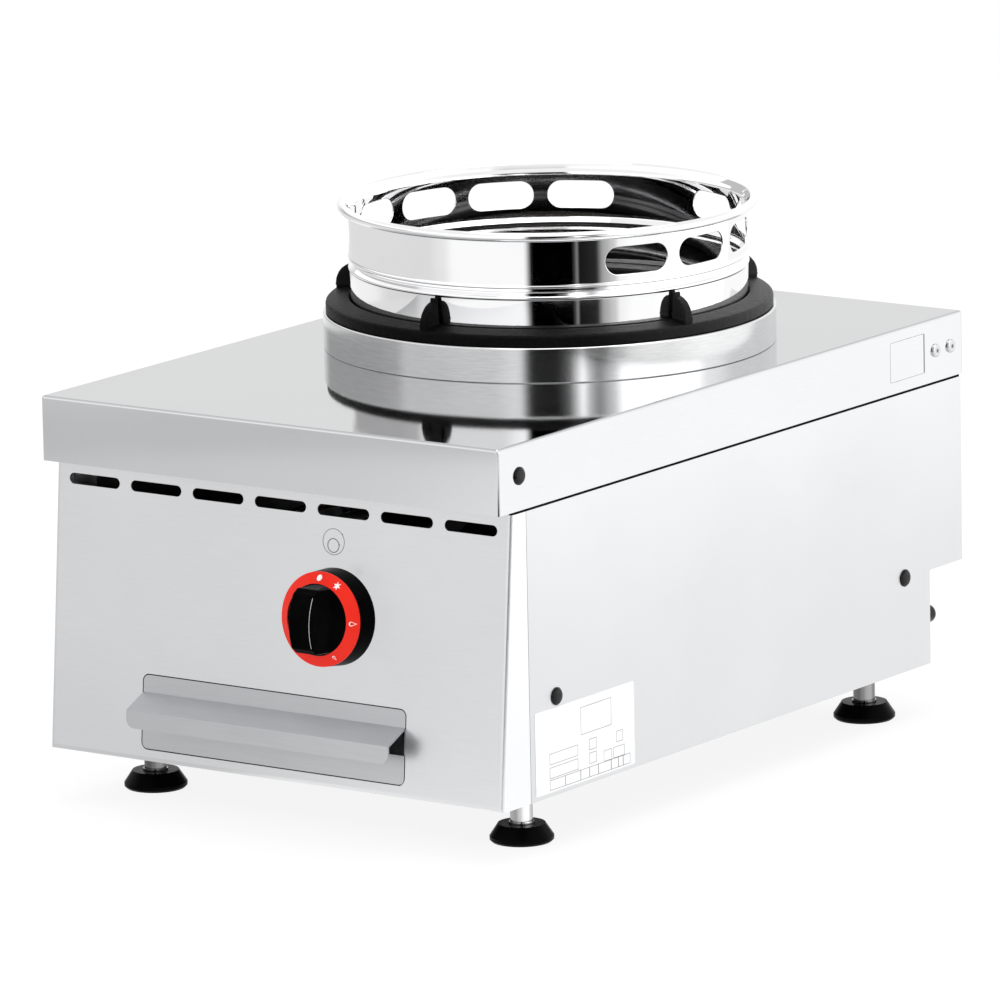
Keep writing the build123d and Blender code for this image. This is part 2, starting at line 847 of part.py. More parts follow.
# ------------------------------------------------------------------ drip tray
def folded_edges(shape):
    """The lower edges at the sides and back, and the two upright edges at the back."""
    floor_edges = shape.faces().sort_by(Axis.Z)[0].edges().sort_by(Axis.Y)[1:]
    return floor_edges + shape.edges().filter_by(Axis.Z).sort_by(Axis.Y)[-2:]


def make_drip_tray_pan():
    front_y = panel_bottom_y - panel_lean
    back_y = recess_y - panel_sheet - tray_back_gap
    inner_half = tray_half - tray_sheet
    pan = block(-tray_half, tray_half, front_y, back_y, tray_bottom_z, tray_top_z)
    pan = fillet(folded_edges(pan), tray_bend)
    inside = block(
        -inner_half, inner_half, front_y - past, back_y - tray_sheet,
        tray_bottom_z + tray_sheet, tray_top_z + past,
    )
    pan -= fillet(folded_edges(inside), tray_bend - tray_sheet)
    pan -= block(
        tray_bend - tray_half, tray_half - tray_bend, back_y - tray_bend, back_y + past,
        tray_bottom_z + tray_back_height, tray_top_z + past,
    )
    pan = Pos(tray_centre_x, 0, 0) * pan
    middle_down = tray_opening_down + tray_opening_height / 2
    in_front = Box(width, 4 * tray_opening_height, 4 * panel_lean)
    return pan - on_front(0, middle_down, 2 * panel_lean - tray_sheet) * in_front


def make_drip_tray_front():
    top_down = tray_opening_down + tray_gap + tray_face_band + tray_window
    height = tray_down_to_bottom - top_down
    plate = RectangleRounded(tray_face_width, 2 * height, tray_opening_corner - tray_gap)
    plate -= Pos(0, height / 2) * Rectangle(2 * tray_face_width, height)
    return on_front(tray_centre_x, top_down) * extrude(plate, -tray_sheet)


def make_drip_tray_handle():
    """Top band and handle of the tray, folded from one sheet."""
    band_down = tray_opening_down + tray_gap
    fold_down = band_down + tray_face_band
    edge_down = fold_down + tray_handle_drop
    lip_down = edge_down + tray_handle_lip
    section = Polygon(
        (-band_down, -tray_sheet),
        (-band_down, 0),
        (-fold_down, 0),
        (-edge_down, tray_handle_out),
        (-lip_down, tray_handle_out),
        (-lip_down, tray_handle_out - tray_sheet),
        (-edge_down - tray_sheet / 2, tray_handle_out - tray_sheet),
        (-fold_down - tray_sheet / 2, -tray_sheet),
        align=None,
    )
    handle = Pos(-tray_half, 0, 0) * extrude(Plane.YZ * section, tray_face_width, dir=(1, 0, 0))
    corners = handle.edges().filter_by(Axis.Z).group_by(Axis.Y)
    handle = fillet(corners[0], tray_handle_corner)
    corners = handle.edges().filter_by(Axis.Z).group_by(Axis.Y)
    handle = fillet(corners[-1], tray_opening_corner - tray_gap)
    return on_front(tray_centre_x, 0) * handle


# ------------------------------------------------------------------ gas tap and knob
def turned_on_front(points):
    section = Plane.XZ * Polygon(*points, align=None)
    return on_front(knob_x, knob_down) * revolve(section, Axis.Z, 360)


def make_knob_body():
    step = knob_inner_radius
    floor = knob_inner_height - knob_ring_thickness - knob_dish
    body = turned_on_front([
        (0, knob_gap),
        (knob_radius, knob_gap),
        (knob_ring_radius, knob_front_ring - knob_ring_thickness),
        (step, knob_inner_height - knob_ring_thickness),
        (step - knob_dish_slope, floor),
        (0, floor),
    ])
    with BuildSketch(Plane.XZ) as blade:
        with BuildLine():
            ThreePointArc((-grip_reach, grip_height), (0, grip_height + grip_arch), (grip_reach, grip_height))
            Polyline(
                (grip_reach, grip_height),
                (grip_foot - grip_taper, grip_height - grip_shoulder),
                (grip_foot, floor - sunk),
                (-grip_foot, floor - sunk),
                (-grip_foot + grip_taper, grip_height - grip_shoulder),
                (-grip_reach, grip_height),
            )
        make_face()
    grip = extrude(blade.sketch, grip_width / 2, both=True)
    above = [edge for edge in grip.edges() if edge.center().Z > floor + 2 * grip_edge_round]
    grip = fillet(above, grip_edge_round)
    grip &= Cylinder(grip_foot, 2 * (grip_height + grip_arch + past))
    body += on_front(knob_x, knob_down) * Rot(0, 0, 90) * grip
    bore = on_front(knob_x, knob_down, knob_gap + spindle_inside_knob / 2)
    return body - bore * Cylinder(spindle_radius, spindle_inside_knob)


def make_knob_ring():
    return turned_on_front([
        (knob_ring_radius, knob_front_ring - knob_ring_thickness),
        (knob_ring_radius, knob_front_ring),
        (knob_inner_radius, knob_inner_height),
        (knob_inner_radius, knob_inner_height - knob_ring_thickness),
    ])


def make_tap_spindle():
    front = knob_gap + spindle_inside_knob
    rod = Cylinder(spindle_radius, front - spindle_end)
    tongue = Box(tongue_width, 2 * spindle_radius, tongue_length)
    spindle = on_front(knob_x, knob_down, (front + spindle_end) / 2) * rod
    return spindle + on_front(knob_x, knob_down, spindle_end - tongue_length / 2) * tongue


def make_tap_plug():
    plug = on_front(knob_x, knob_down, tap_plug_front - plug_length / 2) * Cylinder(plug_radius, plug_length)
    slot_depth = tongue_length + push_in + spindle_end_gap
    slot = Box(tongue_width + 2 * tongue_play, 2 * (spindle_radius + tongue_play), slot_depth)
    plug -= on_front(knob_x, knob_down, tap_plug_front - slot_depth / 2) * slot
    gas_way = Rot(0, 90, 0) * Cylinder(plug_port_radius, 3 * plug_radius)
    return plug - on_front(knob_x, knob_down, tap_port_out) * gas_way


def make_gas_tap_body():
    middle = on_front(knob_x, knob_down, (tap_face + tap_rear) / 2)
    body = middle * Box(tap_block, tap_block_height, tap_block_depth)
    cavity_back = tap_plug_front - plug_length - plug_play
    cavity = on_front(knob_x, knob_down, (tap_face + cavity_back) / 2)
    body -= cavity * Cylinder(plug_radius + plug_play, tap_face - cavity_back)
    inlet = Rot(0, 90, 0) * Cylinder(feed_pipe_radius - feed_wall, tap_block)
    body -= on_front(knob_x + tap_block / 2, knob_down, tap_port_out) * inlet
    outlet = Rot(90, 0, 0) * Cylinder(feed_pipe_radius - feed_wall, tap_block_height)
    return body - on_front(knob_x, knob_down - tap_block_height / 2, tap_port_out) * outlet


def make_gas_tap_bonnet():
    middle = -tap_behind - bonnet_thickness / 2
    plate = Box(tap_block, bonnet_height, bonnet_thickness)
    plate = fillet(plate.edges().filter_by(Axis.Z), bonnet_corner)
    plate -= Cylinder(spindle_radius + spindle_play, 2 * bonnet_thickness)
    bonnet = on_front(knob_x, knob_down, middle) * plate
    screw = Cylinder(tap_screw_radius, tap_screw_height)
    for side in (-1, 1):
        up = side * (bonnet_height / 2 - tap_screw_inset)
        bonnet += on_front(knob_x, knob_down + up, -tap_behind + tap_screw_height / 2) * screw
    return bonnet


def make_tap_bracket():
    """A cross rail between the side panels that carries the tap's bonnet."""
    span = 2 * (side_x - panel_sheet)
    rail = Pos(0, -knob_down, tap_face - panel_sheet / 2) * Box(span, tap_bracket_height, panel_sheet)
    fold_up = -knob_down + tap_bracket_height / 2 - panel_sheet / 2
    fold_out = tap_face - panel_sheet - tap_bracket_fold / 2
    rail += Pos(0, fold_up, fold_out) * Box(span, panel_sheet, tap_bracket_fold)
    window = Box(tap_block + 2 * tap_bracket_play, tap_block_height + 2 * tap_bracket_play, 6 * panel_sheet)
    return front_face * (rail - Pos(knob_x, -knob_down, tap_face) * window)


# ------------------------------------------------------------------ gas pipes
def make_gas_inlet():
    """A threaded inlet held in the recess panel by a nut on each side."""
    inside = recess_y - panel_sheet
    outside = recess_y + gas_locknut_thickness
    end = outside + gas_inlet_length
    hexagon = RegularPolygon(gas_nut_across / 2, 6, major_radius=False)
    nut = extrude(hexagon, gas_nut_thickness)
    locknut = extrude(hexagon, gas_locknut_thickness)
    fitting = Plane(origin=(supply_x, inside - gas_nut_thickness, supply_z), z_dir=(0, 1, 0)) * nut
    fitting += Plane(origin=(supply_x, recess_y, supply_z), z_dir=(0, 1, 0)) * locknut
    fitting += between((supply_x, inside, supply_z), (supply_x, recess_y, supply_z), gas_neck_radius)
    fitting += between((supply_x, outside, supply_z), (supply_x, end, supply_z), gas_inlet_radius)
    low = inside - gas_nut_thickness - past
    return fitting - between((supply_x, low, supply_z), (supply_x, end + past, supply_z), gas_inlet_bore)


def make_supply_pipe():
    port = front_point(knob_x + tap_block / 2, knob_down, tap_port_out)
    start = recess_y - panel_sheet
    return pipe(
        [
            (supply_x, start, supply_z),
            (supply_x, port.Y, supply_z),
            (supply_x, port.Y, port.Z),
            (port.X, port.Y, port.Z),
        ],
        gas_inlet_bore - pipe_play, supply_bend, supply_wall,
    )


def make_injector():
    back = injector_back_y
    tip = back + injector_hex_length + injector_nose_length
    hexagon = extrude(RegularPolygon(injector_hex_across / 2, 6, major_radius=False), injector_hex_length)
    injector = Plane(origin=(0, back, venturi_z), z_dir=(0, 1, 0)) * hexagon
    injector += between((0, back + injector_hex_length, venturi_z), (0, tip, venturi_z), injector_nose_radius)
    gas_way = feed_pipe_radius - feed_wall
    injector -= between((0, back - past, venturi_z), (0, tip - injector_nose_wall, venturi_z), gas_way)
    return injector - between((0, back, venturi_z), (0, tip + past, venturi_z), injector_bore_radius)


def make_feed_pipe():
    port = front_point(knob_x, knob_down - tap_block_height / 2, tap_port_out)
    up = front_face.y_dir
    top = port + up * ((venturi_z - port.Z) / up.Z)
    return pipe(
        [
            tuple(port),
            tuple(top),
            (0, top.Y, venturi_z),
            (0, injector_back_y, venturi_z),
        ],
        feed_pipe_radius, feed_bend, feed_wall,
    )


# ------------------------------------------------------------------ burner
def make_burner_body():
    floor = burner_floor_z
    cone_low = burner_rim_z - burner_bowl_depth - burner_bowl_rise
    cone_high = burner_rim_z - burner_bowl_depth + burner_bowl_rise
    seat = crown_inner_radius - crown_seat_width
    body = turned([
        (0, floor),
        (burner_throat_radius, floor),
        (burner_throat_radius, cone_low),
        (burner_head_radius, cone_high),
        (burner_head_radius, burner_rim_z),
        (seat, burner_rim_z),
        (seat, burner_rim_z - burner_wall),
        (burner_head_radius - burner_wall, burner_rim_z - burner_wall),
        (burner_head_radius - burner_wall, cone_high + burner_wall / 2),
        (burner_throat_radius - burner_wall, cone_low + burner_wall / 2),
        (burner_throat_radius - burner_wall, floor + burner_wall),
        (0, floor + burner_wall),
    ])
    body -= between((0, venturi_front_y, venturi_z), (0, burner_y, venturi_z), venturi_radius)
    hole_at = crown_radius - crown_wall - gas_hole_inset
    for index in range(gas_hole_count):
        x, y, _ = around(hole_at, index * 360 / gas_hole_count)
        body -= upright(gas_hole_radius, burner_rim_z - 2 * burner_wall, burner_rim_z + past, x, y)
    return body


def make_burner_venturi():
    end_y = burner_y - burner_throat_radius + burner_wall
    mouth_end = venturi_front_y + venturi_mouth_length
    shell = [
        (venturi_mouth_radius, 0),
        (venturi_mouth_radius, venturi_mouth_lip),
        (venturi_radius + venturi_mouth_curve, venturi_mouth_length / 2),
        (venturi_radius, venturi_mouth_length),
        (venturi_radius, end_y - venturi_front_y),
        (venturi_radius - venturi_wall, end_y - venturi_front_y),
        (venturi_radius - venturi_wall, venturi_mouth_length),
        (venturi_radius + venturi_mouth_curve - venturi_wall, venturi_mouth_length / 2),
        (venturi_mouth_radius - venturi_wall, 0),
    ]
    section = Plane.XZ * Polygon(*shell, align=None)
    tube = revolve(section, Axis.Z, 360)
    return Plane(origin=(0, venturi_front_y, venturi_z), z_dir=(0, 1, 0)) * tube


def make_air_shutter():
    """A sleeve on the venturi that is set forward or back to trim the air."""
    start = venturi_front_y + venturi_mouth_length + shutter_set_back
    end = start + shutter_length
    inner = venturi_radius + seat_clearance
    sleeve = between((0, start, venturi_z), (0, end, venturi_z), inner + shutter_wall)
    sleeve += between((0, start, venturi_z), (0, start + shutter_flange, venturi_z), venturi_mouth_radius)
    return sleeve - between((0, start - past, venturi_z), (0, end + past, venturi_z), inner)


def make_burner_crown():
    top = crown_z + crown_height
    crown = turned([
        (crown_inner_radius, crown_z),
        (crown_inner_radius + crown_wall, crown_z),
        (crown_inner_radius + crown_wall, top - crown_wall),
        (crown_radius - crown_wall, top - crown_wall),
        (crown_radius - crown_wall, crown_z),
        (crown_radius, crown_z),
        (crown_radius, top),
        (crown_inner_radius, top),
    ])
    port = Box(3 * crown_wall, crown_port_width, crown_port_height)
    port = Pos(crown_radius, 0, crown_z + crown_height / 2) * port
    for index in range(crown_port_count):
        crown -= Pos(0, burner_y, 0) * Rot(0, 0, index * 360 / crown_port_count) * port
    return crown


def make_burner_cap():
    spigot = crown_inner_radius - cap_spigot_play
    top = cap_z + cap_thickness
    return turned([
        (0, cap_z - cap_spigot_height),
        (spigot, cap_z - cap_spigot_height),
        (spigot, cap_z),
        (cap_radius, cap_z),
        (cap_radius, cap_z + cap_rim_thickness),
        (cap_radius - cap_slope, top),
        (cap_boss_radius, top + cap_boss_height / 2),
        (cap_boss_radius - cap_boss_edge, top + cap_boss_height),
        (0, top + cap_boss_height),
    ])


def make_burner_support():
    """A strap across the well that carries the burner."""
    half = strap_width / 2
    reach = math.sqrt((well_radius - well_sheet - strap_play) ** 2 - half ** 2)
    under_z = burner_floor_z - strap_thickness
    return block(-reach, reach, burner_y - half, burner_y + half, under_z, burner_floor_z)


def make_burner_well():
    top = worktop_height - worktop_sheet
    well = turned([
        (well_radius + well_flange, top),
        (well_radius + well_flange, top - well_sheet),
        (well_radius, top - well_sheet),
        (well_radius, well_bottom_z),
        (well_radius - well_sheet, well_bottom_z),
        (well_radius - well_sheet, top),
    ])
    lead_x = pilot_place(0)[0]
    holes = [
        (0, venturi_z, venturi_mouth_radius + well_hole_play),
        (lead_x, pilot_lead_z, pilot_lead_hole),
    ]
    for x, z, radius in holes:
        well -= between((x, burner_y - well_radius - well_flange, z), (x, burner_y, z), radius)
    return well


def make_spill_funnel():
    rim = well_radius + well_sheet + funnel_flange
    return turned([
        (rim, well_bottom_z - well_sheet),
        (rim, well_bottom_z),
        (well_radius - well_sheet, well_bottom_z),
        (funnel_radius - well_sheet, funnel_bottom_z),
        (funnel_radius, funnel_bottom_z),
        (well_radius, well_bottom_z - well_sheet),
    ])


# ------------------------------------------------------------------ pilot group
def pilot_place(offset):
    """Pilot parts stand side by side, offset along the burner's rim."""
    x, y, _ = around(pilot_reach, pilot_angle)
    turn = math.radians(pilot_angle)
    return (x - offset * math.sin(turn), y + offset * math.cos(turn))


def make_pilot_bracket():
    """A shelf that reaches in from the wall of the well."""
    inner = pilot_reach - pilot_plate_depth / 2
    shelf = Box(well_radius - inner, pilot_plate_width, pilot_plate_thickness)
    shelf = Pos((inner + well_radius) / 2, 0, 0) * shelf
    shelf = Pos(0, burner_y, pilot_plate_z) * Rot(0, 0, pilot_angle) * shelf
    low = pilot_plate_z - pilot_plate_thickness
    high = pilot_plate_z + pilot_plate_thickness
    shelf &= upright(well_radius - well_sheet, low, high, 0, burner_y)
    holes = [(0, pilot_radius), (pilot_spread, thermocouple_radius), (-pilot_spread, electrode_radius)]
    for offset, radius in holes:
        x, y = pilot_place(offset)
        shelf -= upright(radius, low, high, x, y)
    return shelf


def make_pilot_burner():
    x, y = pilot_place(0)
    low = pilot_plate_z - pilot_height / 2
    top = low + pilot_height
    hood = Box(pilot_hood_length, 2 * pilot_radius, pilot_hood_thickness)
    hood_place = Pos(x, y, top + pilot_hood_thickness / 2) * Rot(0, 0, pilot_angle)
    hood = hood_place * Pos(-pilot_hood_shift, 0, 0) * hood
    return upright(pilot_radius, low, top, x, y) + hood


def make_thermocouple():
    x, y = pilot_place(pilot_spread)
    low = pilot_plate_z - thermocouple_height / 2
    probe = upright(thermocouple_radius, low, low + thermocouple_height, x, y)
    return fillet(probe.edges().group_by(Axis.Z)[-1], thermocouple_tip_round)


def make_spark_electrode():
    x, y = pilot_place(-pilot_spread)
    low = pilot_plate_z - electrode_height / 2
    return upright(electrode_radius, low, low + electrode_height, x, y)


def make_electrode_pin():
    x, y = pilot_place(-pilot_spread)
    low = pilot_plate_z + electrode_height / 2
    return upright(electrode_pin_radius, low, low + electrode_pin_height, x, y)


def pilot_line(offset, below, x_end, out_end):
    """A thin line from under one pilot part, out of the well and forward to the tap."""
    x, y = pilot_place(offset)
    run_y = lead_run_y + lead_run_spacing * offset / pilot_spread
    run_z = pilot_lead_z
    end = front_point(x_end, knob_down, out_end)
    turn_z = end.Z - (run_y - end.Y) * math.tan(math.radians(panel_slope))
    path = FilletPolyline(
        (x, y, pilot_plate_z - below),
        (x, y, run_z),
        (x, run_y, run_z),
        (x_end, run_y, run_z),
        (x_end, run_y, turn_z),
        (x_end, end.Y, end.Z),
        radius=lead_bend,
    )
    start = Plane(origin=path @ 0, z_dir=path % 0)
    return sweep(start * Circle(lead_radius), path=path)


def make_pilot_pipe():
    return pilot_line(0, pilot_height / 2, knob_x - tap_line_x, tap_rear)


def make_thermocouple_lead():
    return pilot_line(pilot_spread, thermocouple_height / 2, knob_x + tap_line_x, tap_rear)


def make_ignition_lead():
    return pilot_line(-pilot_spread, electrode_height / 2, igniter_x, tap_face - panel_sheet - igniter_length)


# ------------------------------------------------------------------ fittings on the outside
def sideways(x, y, z):
    """Local frame on the right-hand side, pointing out of it."""
    return Plane(origin=(x, y, z), x_dir=(0, 1, 0), z_dir=(1, 0, 0))


def dome_plug(stem_length):
    dome = revolve(
        Plane.XZ * Polygon(
            (0, 0),
            (plug_dome_radius, 0),
            (plug_dome_radius, plug_dome_edge),
            (plug_dome_radius * plug_dome_shoulder, plug_dome_height * plug_dome_shoulder),
            (plug_dome_radius * plug_dome_crown, plug_dome_height),
            (0, plug_dome_height),
            align=None,
        ),
        Axis.Z, 360,
    )
    return dome + Pos(0, 0, -stem_length / 2) * Cylinder(plug_stem_radius, stem_length)


def make_side_plugs():
    plugs = []
    for y in side_plug_ys:
        plug = sideways(side_x, y, side_plug_z) * dome_plug(plug_stem_length)
        plugs += both_sides(plug)
    return Compound(plugs)


def make_lip_plugs():
    place = sideways(width / 2, lip_plug_y, worktop_height - lip_plug_down)
    plug = place * dome_plug(plug_stem_length)
    return Compound(both_sides(plug))


def make_linking_covers():
    """A plate behind the lip with a raised field that fills the window."""
    outline = RectangleRounded(cover_length + 2 * cover_lap, cover_height + 2 * cover_lap, cover_corner)
    field = Rectangle(cover_length - cover_gap - cover_rear_gap, cover_height - 2 * cover_gap)
    cover = extrude(outline, -cover_thickness)
    cover += Pos((cover_gap - cover_rear_gap) / 2, 0) * extrude(field, worktop_sheet)
    return Compound(both_sides(sideways(width / 2 - worktop_sheet, cover_y, cover_z) * cover))


def make_linking_screws():
    head = Cylinder(link_screw_radius, link_screw_height)
    head = fillet(head.edges().group_by(Axis.Z)[-1], link_screw_height * head_round)
    socket = extrude(RegularPolygon(link_socket_across / 2, 6, major_radius=False), link_socket_depth)
    head = Pos(0, 0, link_screw_height / 2) * head - Pos(0, 0, link_screw_height - link_socket_depth) * socket
    screws = []
    for inset in link_screw_insets:
        screws += both_sides(sideways(width / 2, depth - inset, worktop_height - link_screw_down) * head)
    return Compound(screws)


def make_data_label():
    label = extrude(RectangleRounded(label_length, label_height, label_corner), label_thickness)
    return sideways(side_x, label_y, housing_bottom_z + label_up) * label


def make_recess_bumpers():
    place = Plane(origin=(bumper_x, recess_y, housing_bottom_z + bumper_up), z_dir=(0, 1, 0))
    bumper = Pos(0, 0, bumper_height / 2) * Cylinder(bumper_radius, bumper_height)
    bumper = fillet(bumper.edges().group_by(Axis.Z)[-1], bumper_round)
    bumper += Pos(0, 0, -plug_stem_length / 2) * Cylinder(plug_stem_radius, plug_stem_length)
    return Compound(both_sides(place * bumper))


def make_rear_screws():
    head = Pos(0, 0, rear_screw_height / 2) * Cylinder(rear_screw_radius, rear_screw_height)
    head = fillet(head.edges().group_by(Axis.Z)[-1], rear_screw_height * head_round)
    screw = head + Pos(0, 0, -rear_screw_length / 2) * Cylinder(rear_screw_shank_radius, rear_screw_length)
    places = [Plane(origin=(x, rear_y, z), z_dir=(0, 1, 0)) for x, z in rear_screw_places()]
    return Compound([place * screw for place in places])


def make_igniter():
    body = Box(igniter_width, igniter_width, igniter_length)
    body = fillet(body.edges().filter_by(Axis.Z), igniter_corner)
    return on_front(igniter_x, knob_down, tap_face - panel_sheet - igniter_length / 2) * body


# ------------------------------------------------------------------ all pieces
def make_pieces():
    pieces = {
        "worktop": make_worktop(),
        "burner_skirt": make_burner_skirt(),
        "trivet_ring": make_trivet_ring(),
        "wok_ring": make_wok_ring(),
        "front_panel": make_front_panel(),
        "side_panel_left": make_side_panel(-1),
        "side_panel_right": make_side_panel(1),
        "seal_strip": make_seal_strip(),
        "rear_panel": make_rear_panel(),
        "recess_panel": make_recess_panel(),
        "base_pan": make_base_pan(),
        "tray_runner_left": make_tray_runner(-1),
        "tray_runner_right": make_tray_runner(1),
        "foot_brackets": make_foot_brackets(),
        "drip_tray_pan": make_drip_tray_pan(),
        "drip_tray_front": make_drip_tray_front(),
        "drip_tray_handle": make_drip_tray_handle(),
        "knob_body": make_knob_body(),
        "knob_ring": make_knob_ring(),
        "tap_spindle": make_tap_spindle(),
        "tap_plug": make_tap_plug(),
        "gas_tap_body": make_gas_tap_body(),
        "gas_tap_bonnet": make_gas_tap_bonnet(),
        "tap_bracket": make_tap_bracket(),
        "gas_inlet": make_gas_inlet(),
        "supply_pipe": make_supply_pipe(),
        "injector": make_injector(),
        "feed_pipe": make_feed_pipe(),
        "burner_body": make_burner_body(),
        "burner_venturi": make_burner_venturi(),
        "air_shutter": make_air_shutter(),
        "burner_crown": make_burner_crown(),
        "burner_cap": make_burner_cap(),
        "burner_support": make_burner_support(),
        "burner_well": make_burner_well(),
        "spill_funnel": make_spill_funnel(),
        "pilot_bracket": make_pilot_bracket(),
        "pilot_burner": make_pilot_burner(),
        "thermocouple": make_thermocouple(),
        "spark_electrode": make_spark_electrode(),
        "electrode_pin": make_electrode_pin(),
        "igniter": make_igniter(),
        "pilot_pipe": make_pilot_pipe(),
        "thermocouple_lead": make_thermocouple_lead(),
        "ignition_lead": make_ignition_lead(),
        "side_plugs": make_side_plugs(),
        "lip_plugs": make_lip_plugs(),
        "linking_covers": make_linking_covers(),
        "linking_screws": make_linking_screws(),
        "data_label": make_data_label(),
        "recess_bumpers": make_recess_bumpers(),
        "rear_screws": make_rear_screws(),
    }
    for place in foot_places:
        pieces[f"foot_stem_{place}"] = make_foot_stem(place)
        pieces[f"foot_pad_{place}"] = make_foot_pad(place) + make_foot_rod(place)
    return pieces


def main():
    os.makedirs("parts", exist_ok=True)
    pieces = make_pieces()
    boxes = [piece.bounding_box() for piece in pieces.values()]
    front = min(box.min.Y for box in boxes)
    back = max(box.max.Y for box in boxes)
    floor = min(box.min.Z for box in boxes)
    to_origin = Pos(0, -(front + back) / 2, -floor)
    print("moved by", to_origin.position)
    for name, piece in pieces.items():
        export_step(to_origin * piece, f"parts/{name}.step")


if __name__ == "__main__":
    main()
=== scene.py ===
import math

import bpy
from mathutils import Matrix, Vector, noise


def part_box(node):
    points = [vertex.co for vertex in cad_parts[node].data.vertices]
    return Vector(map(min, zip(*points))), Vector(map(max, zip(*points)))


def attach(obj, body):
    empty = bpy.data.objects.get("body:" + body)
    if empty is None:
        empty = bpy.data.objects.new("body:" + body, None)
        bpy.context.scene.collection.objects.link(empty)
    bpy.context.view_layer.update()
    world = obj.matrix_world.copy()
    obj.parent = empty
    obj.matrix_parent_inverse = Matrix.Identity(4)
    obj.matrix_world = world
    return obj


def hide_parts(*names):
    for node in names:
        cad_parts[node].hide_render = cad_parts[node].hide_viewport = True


MM = 0.001

# ------------------------------------------------------------------ the frame
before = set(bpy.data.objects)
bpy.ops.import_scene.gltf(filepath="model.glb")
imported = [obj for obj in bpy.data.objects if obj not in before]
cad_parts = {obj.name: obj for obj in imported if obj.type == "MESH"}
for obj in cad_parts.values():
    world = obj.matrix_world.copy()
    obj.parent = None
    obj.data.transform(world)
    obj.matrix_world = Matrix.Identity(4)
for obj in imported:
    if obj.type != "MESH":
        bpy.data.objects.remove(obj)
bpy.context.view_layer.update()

RING_LOW, RING_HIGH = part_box("wok_ring")
RING_CENTRE = (RING_LOW + RING_HIGH) / 2
BURNER_X = RING_CENTRE.x
BURNER_Y = RING_CENTRE.y
WORKTOP_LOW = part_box("worktop")[0]
SKIRT_LOW, SKIRT_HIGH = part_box("burner_skirt")
LABEL_LOW, LABEL_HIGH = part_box("data_label")
CHEEK_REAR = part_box("side_panel_right")[0].y        # where the front panel's side folds end

# ------------------------------------------------------------------ sizes shared with the frame
# Wok ring, heights above its foot
WALL_RADIUS = 146.2 * MM
WALL_SHEET = 1.5 * MM
WALL_FOOT_TAPER = 0.6 * MM
GROOVE_HEIGHT = 30.3 * MM
GROOVE_WIDTH = 4 * MM
GROOVE_DEPTH = 2.6 * MM
GROOVE_RUN = 1.7 * MM
RIDGE = 1.2 * MM
BEAD_RADIUS = 3.4 * MM
FLARE_HEIGHT = 4.4 * MM
FLARE_STEP = 1.6 * MM
SLOT_SECTORS = 15
SLOTS_EACH_SIDE = 5
SLOT_MIDDLE = math.radians(91)
SLOT_LENGTH = 50.5 * MM
SLOT_HEIGHT = 20.3 * MM
SLOT_CENTRE = 51.2 * MM
SLOT_BAND = 24.6 * MM           # plain band of the wall that holds the slots
SLOT_EDGE_ROUND = 0.45 * MM
FOOT_EASE = 0.25 * MM           # softened lower edge of the wall
FOOT_RISE = 0.3 * MM

# Skirt and trivet
SKIRT_SHEET = 1.5 * MM
SKIRT_FLANGE = 11 * MM
SKIRT_EDGE = 1.3 * MM
TRIVET_RADIUS = 164 * MM
TRIVET_INNER_RADIUS = 125 * MM
TRIVET_EDGE_HEIGHT = 7 * MM
TRIVET_CROWN_HEIGHT = 10.2 * MM
TRIVET_SEAT_DROP = 4.6 * MM
TRIVET_SEAT_PLAY = 0.6 * MM
TRIVET_WEB = 7 * MM
TRIVET_RIB_PLAY = 1.5 * MM
TRIVET_RIB_WIDTH = 5 * MM
TRIVET_RIB_DEPTH = 9 * MM
TRIVET_CLEARANCE = 0.3 * MM     # between the skirt and the ring on it
TRIVET_SEGMENTS = 480
TRIVET_LONGEST_RUN = 3.0 * MM   # of the outline between two points that the grain can move
LUG_COUNT = 5
LUG_FIRST = math.radians(271)
LUG_THICKNESS = 8.4 * MM
LUG_TOP_THICKNESS = 5.6 * MM
LUG_HEIGHT = 19.7 * MM
LUG_REACH = 14.5 * MM
LUG_TIP = 2.2 * MM
LUG_TIP_HEIGHT = 2.9 * MM
LUG_BULGE = 4.4 * MM
LUG_PLAY = 0.4 * MM
LUG_CORNER = 1.5 * MM
LUG_TIP_ROUND = 0.5 * MM
LUG_FLARE = 0.8 * MM            # fillet at the root
LUG_FLARE_HEIGHT = 2.5 * MM
CAST_ROUGHNESS = 0.16 * MM      # height of the cast skin's grain
CAST_SCALE = 420

# Sloping front and knob
PANEL_TOP_SET_BACK = 16.5 * MM
PANEL_LEAN = 18 * MM
PANEL_DROP = 211.6 * MM
KNOB_X = 52.9 * MM
KNOB_DOWN = 88.6 * MM
KNOB_RADIUS = 33.8 * MM
KNOB_RING_RADIUS = 25.7 * MM
KNOB_EDGE_OUT = 21.2 * MM
KNOB_RING_OUT = 25.9 * MM
GRIP_HALF = 9.6 * MM
GRIP_REACH = 19.5 * MM
GRIP_OUT = 42 * MM
GRIP_ARCH = 4.3 * MM
# The painted highlight on the knob grip's edge
GRIP_HIGHLIGHT_INSET = 1.0 * MM
GRIP_HIGHLIGHT_WIDTH = 0.45 * MM
GRIP_HIGHLIGHT_LOW = -18 * MM
GRIP_HIGHLIGHT_HIGH = 18 * MM
MARK_LIFT = 0.06 * MM

# ------------------------------------------------------------------ camera
CAMERA_PLACE = Vector((4.123772, -5.824685, 1.674935))
CAMERA_RIGHT = Vector((0.81845989, 0.57423751, -0.01935719))
CAMERA_UP = Vector((-0.10139498, 0.17751557, 0.97888063))
CAMERA_LENS = 359.72            # on a 36 mm wide sensor


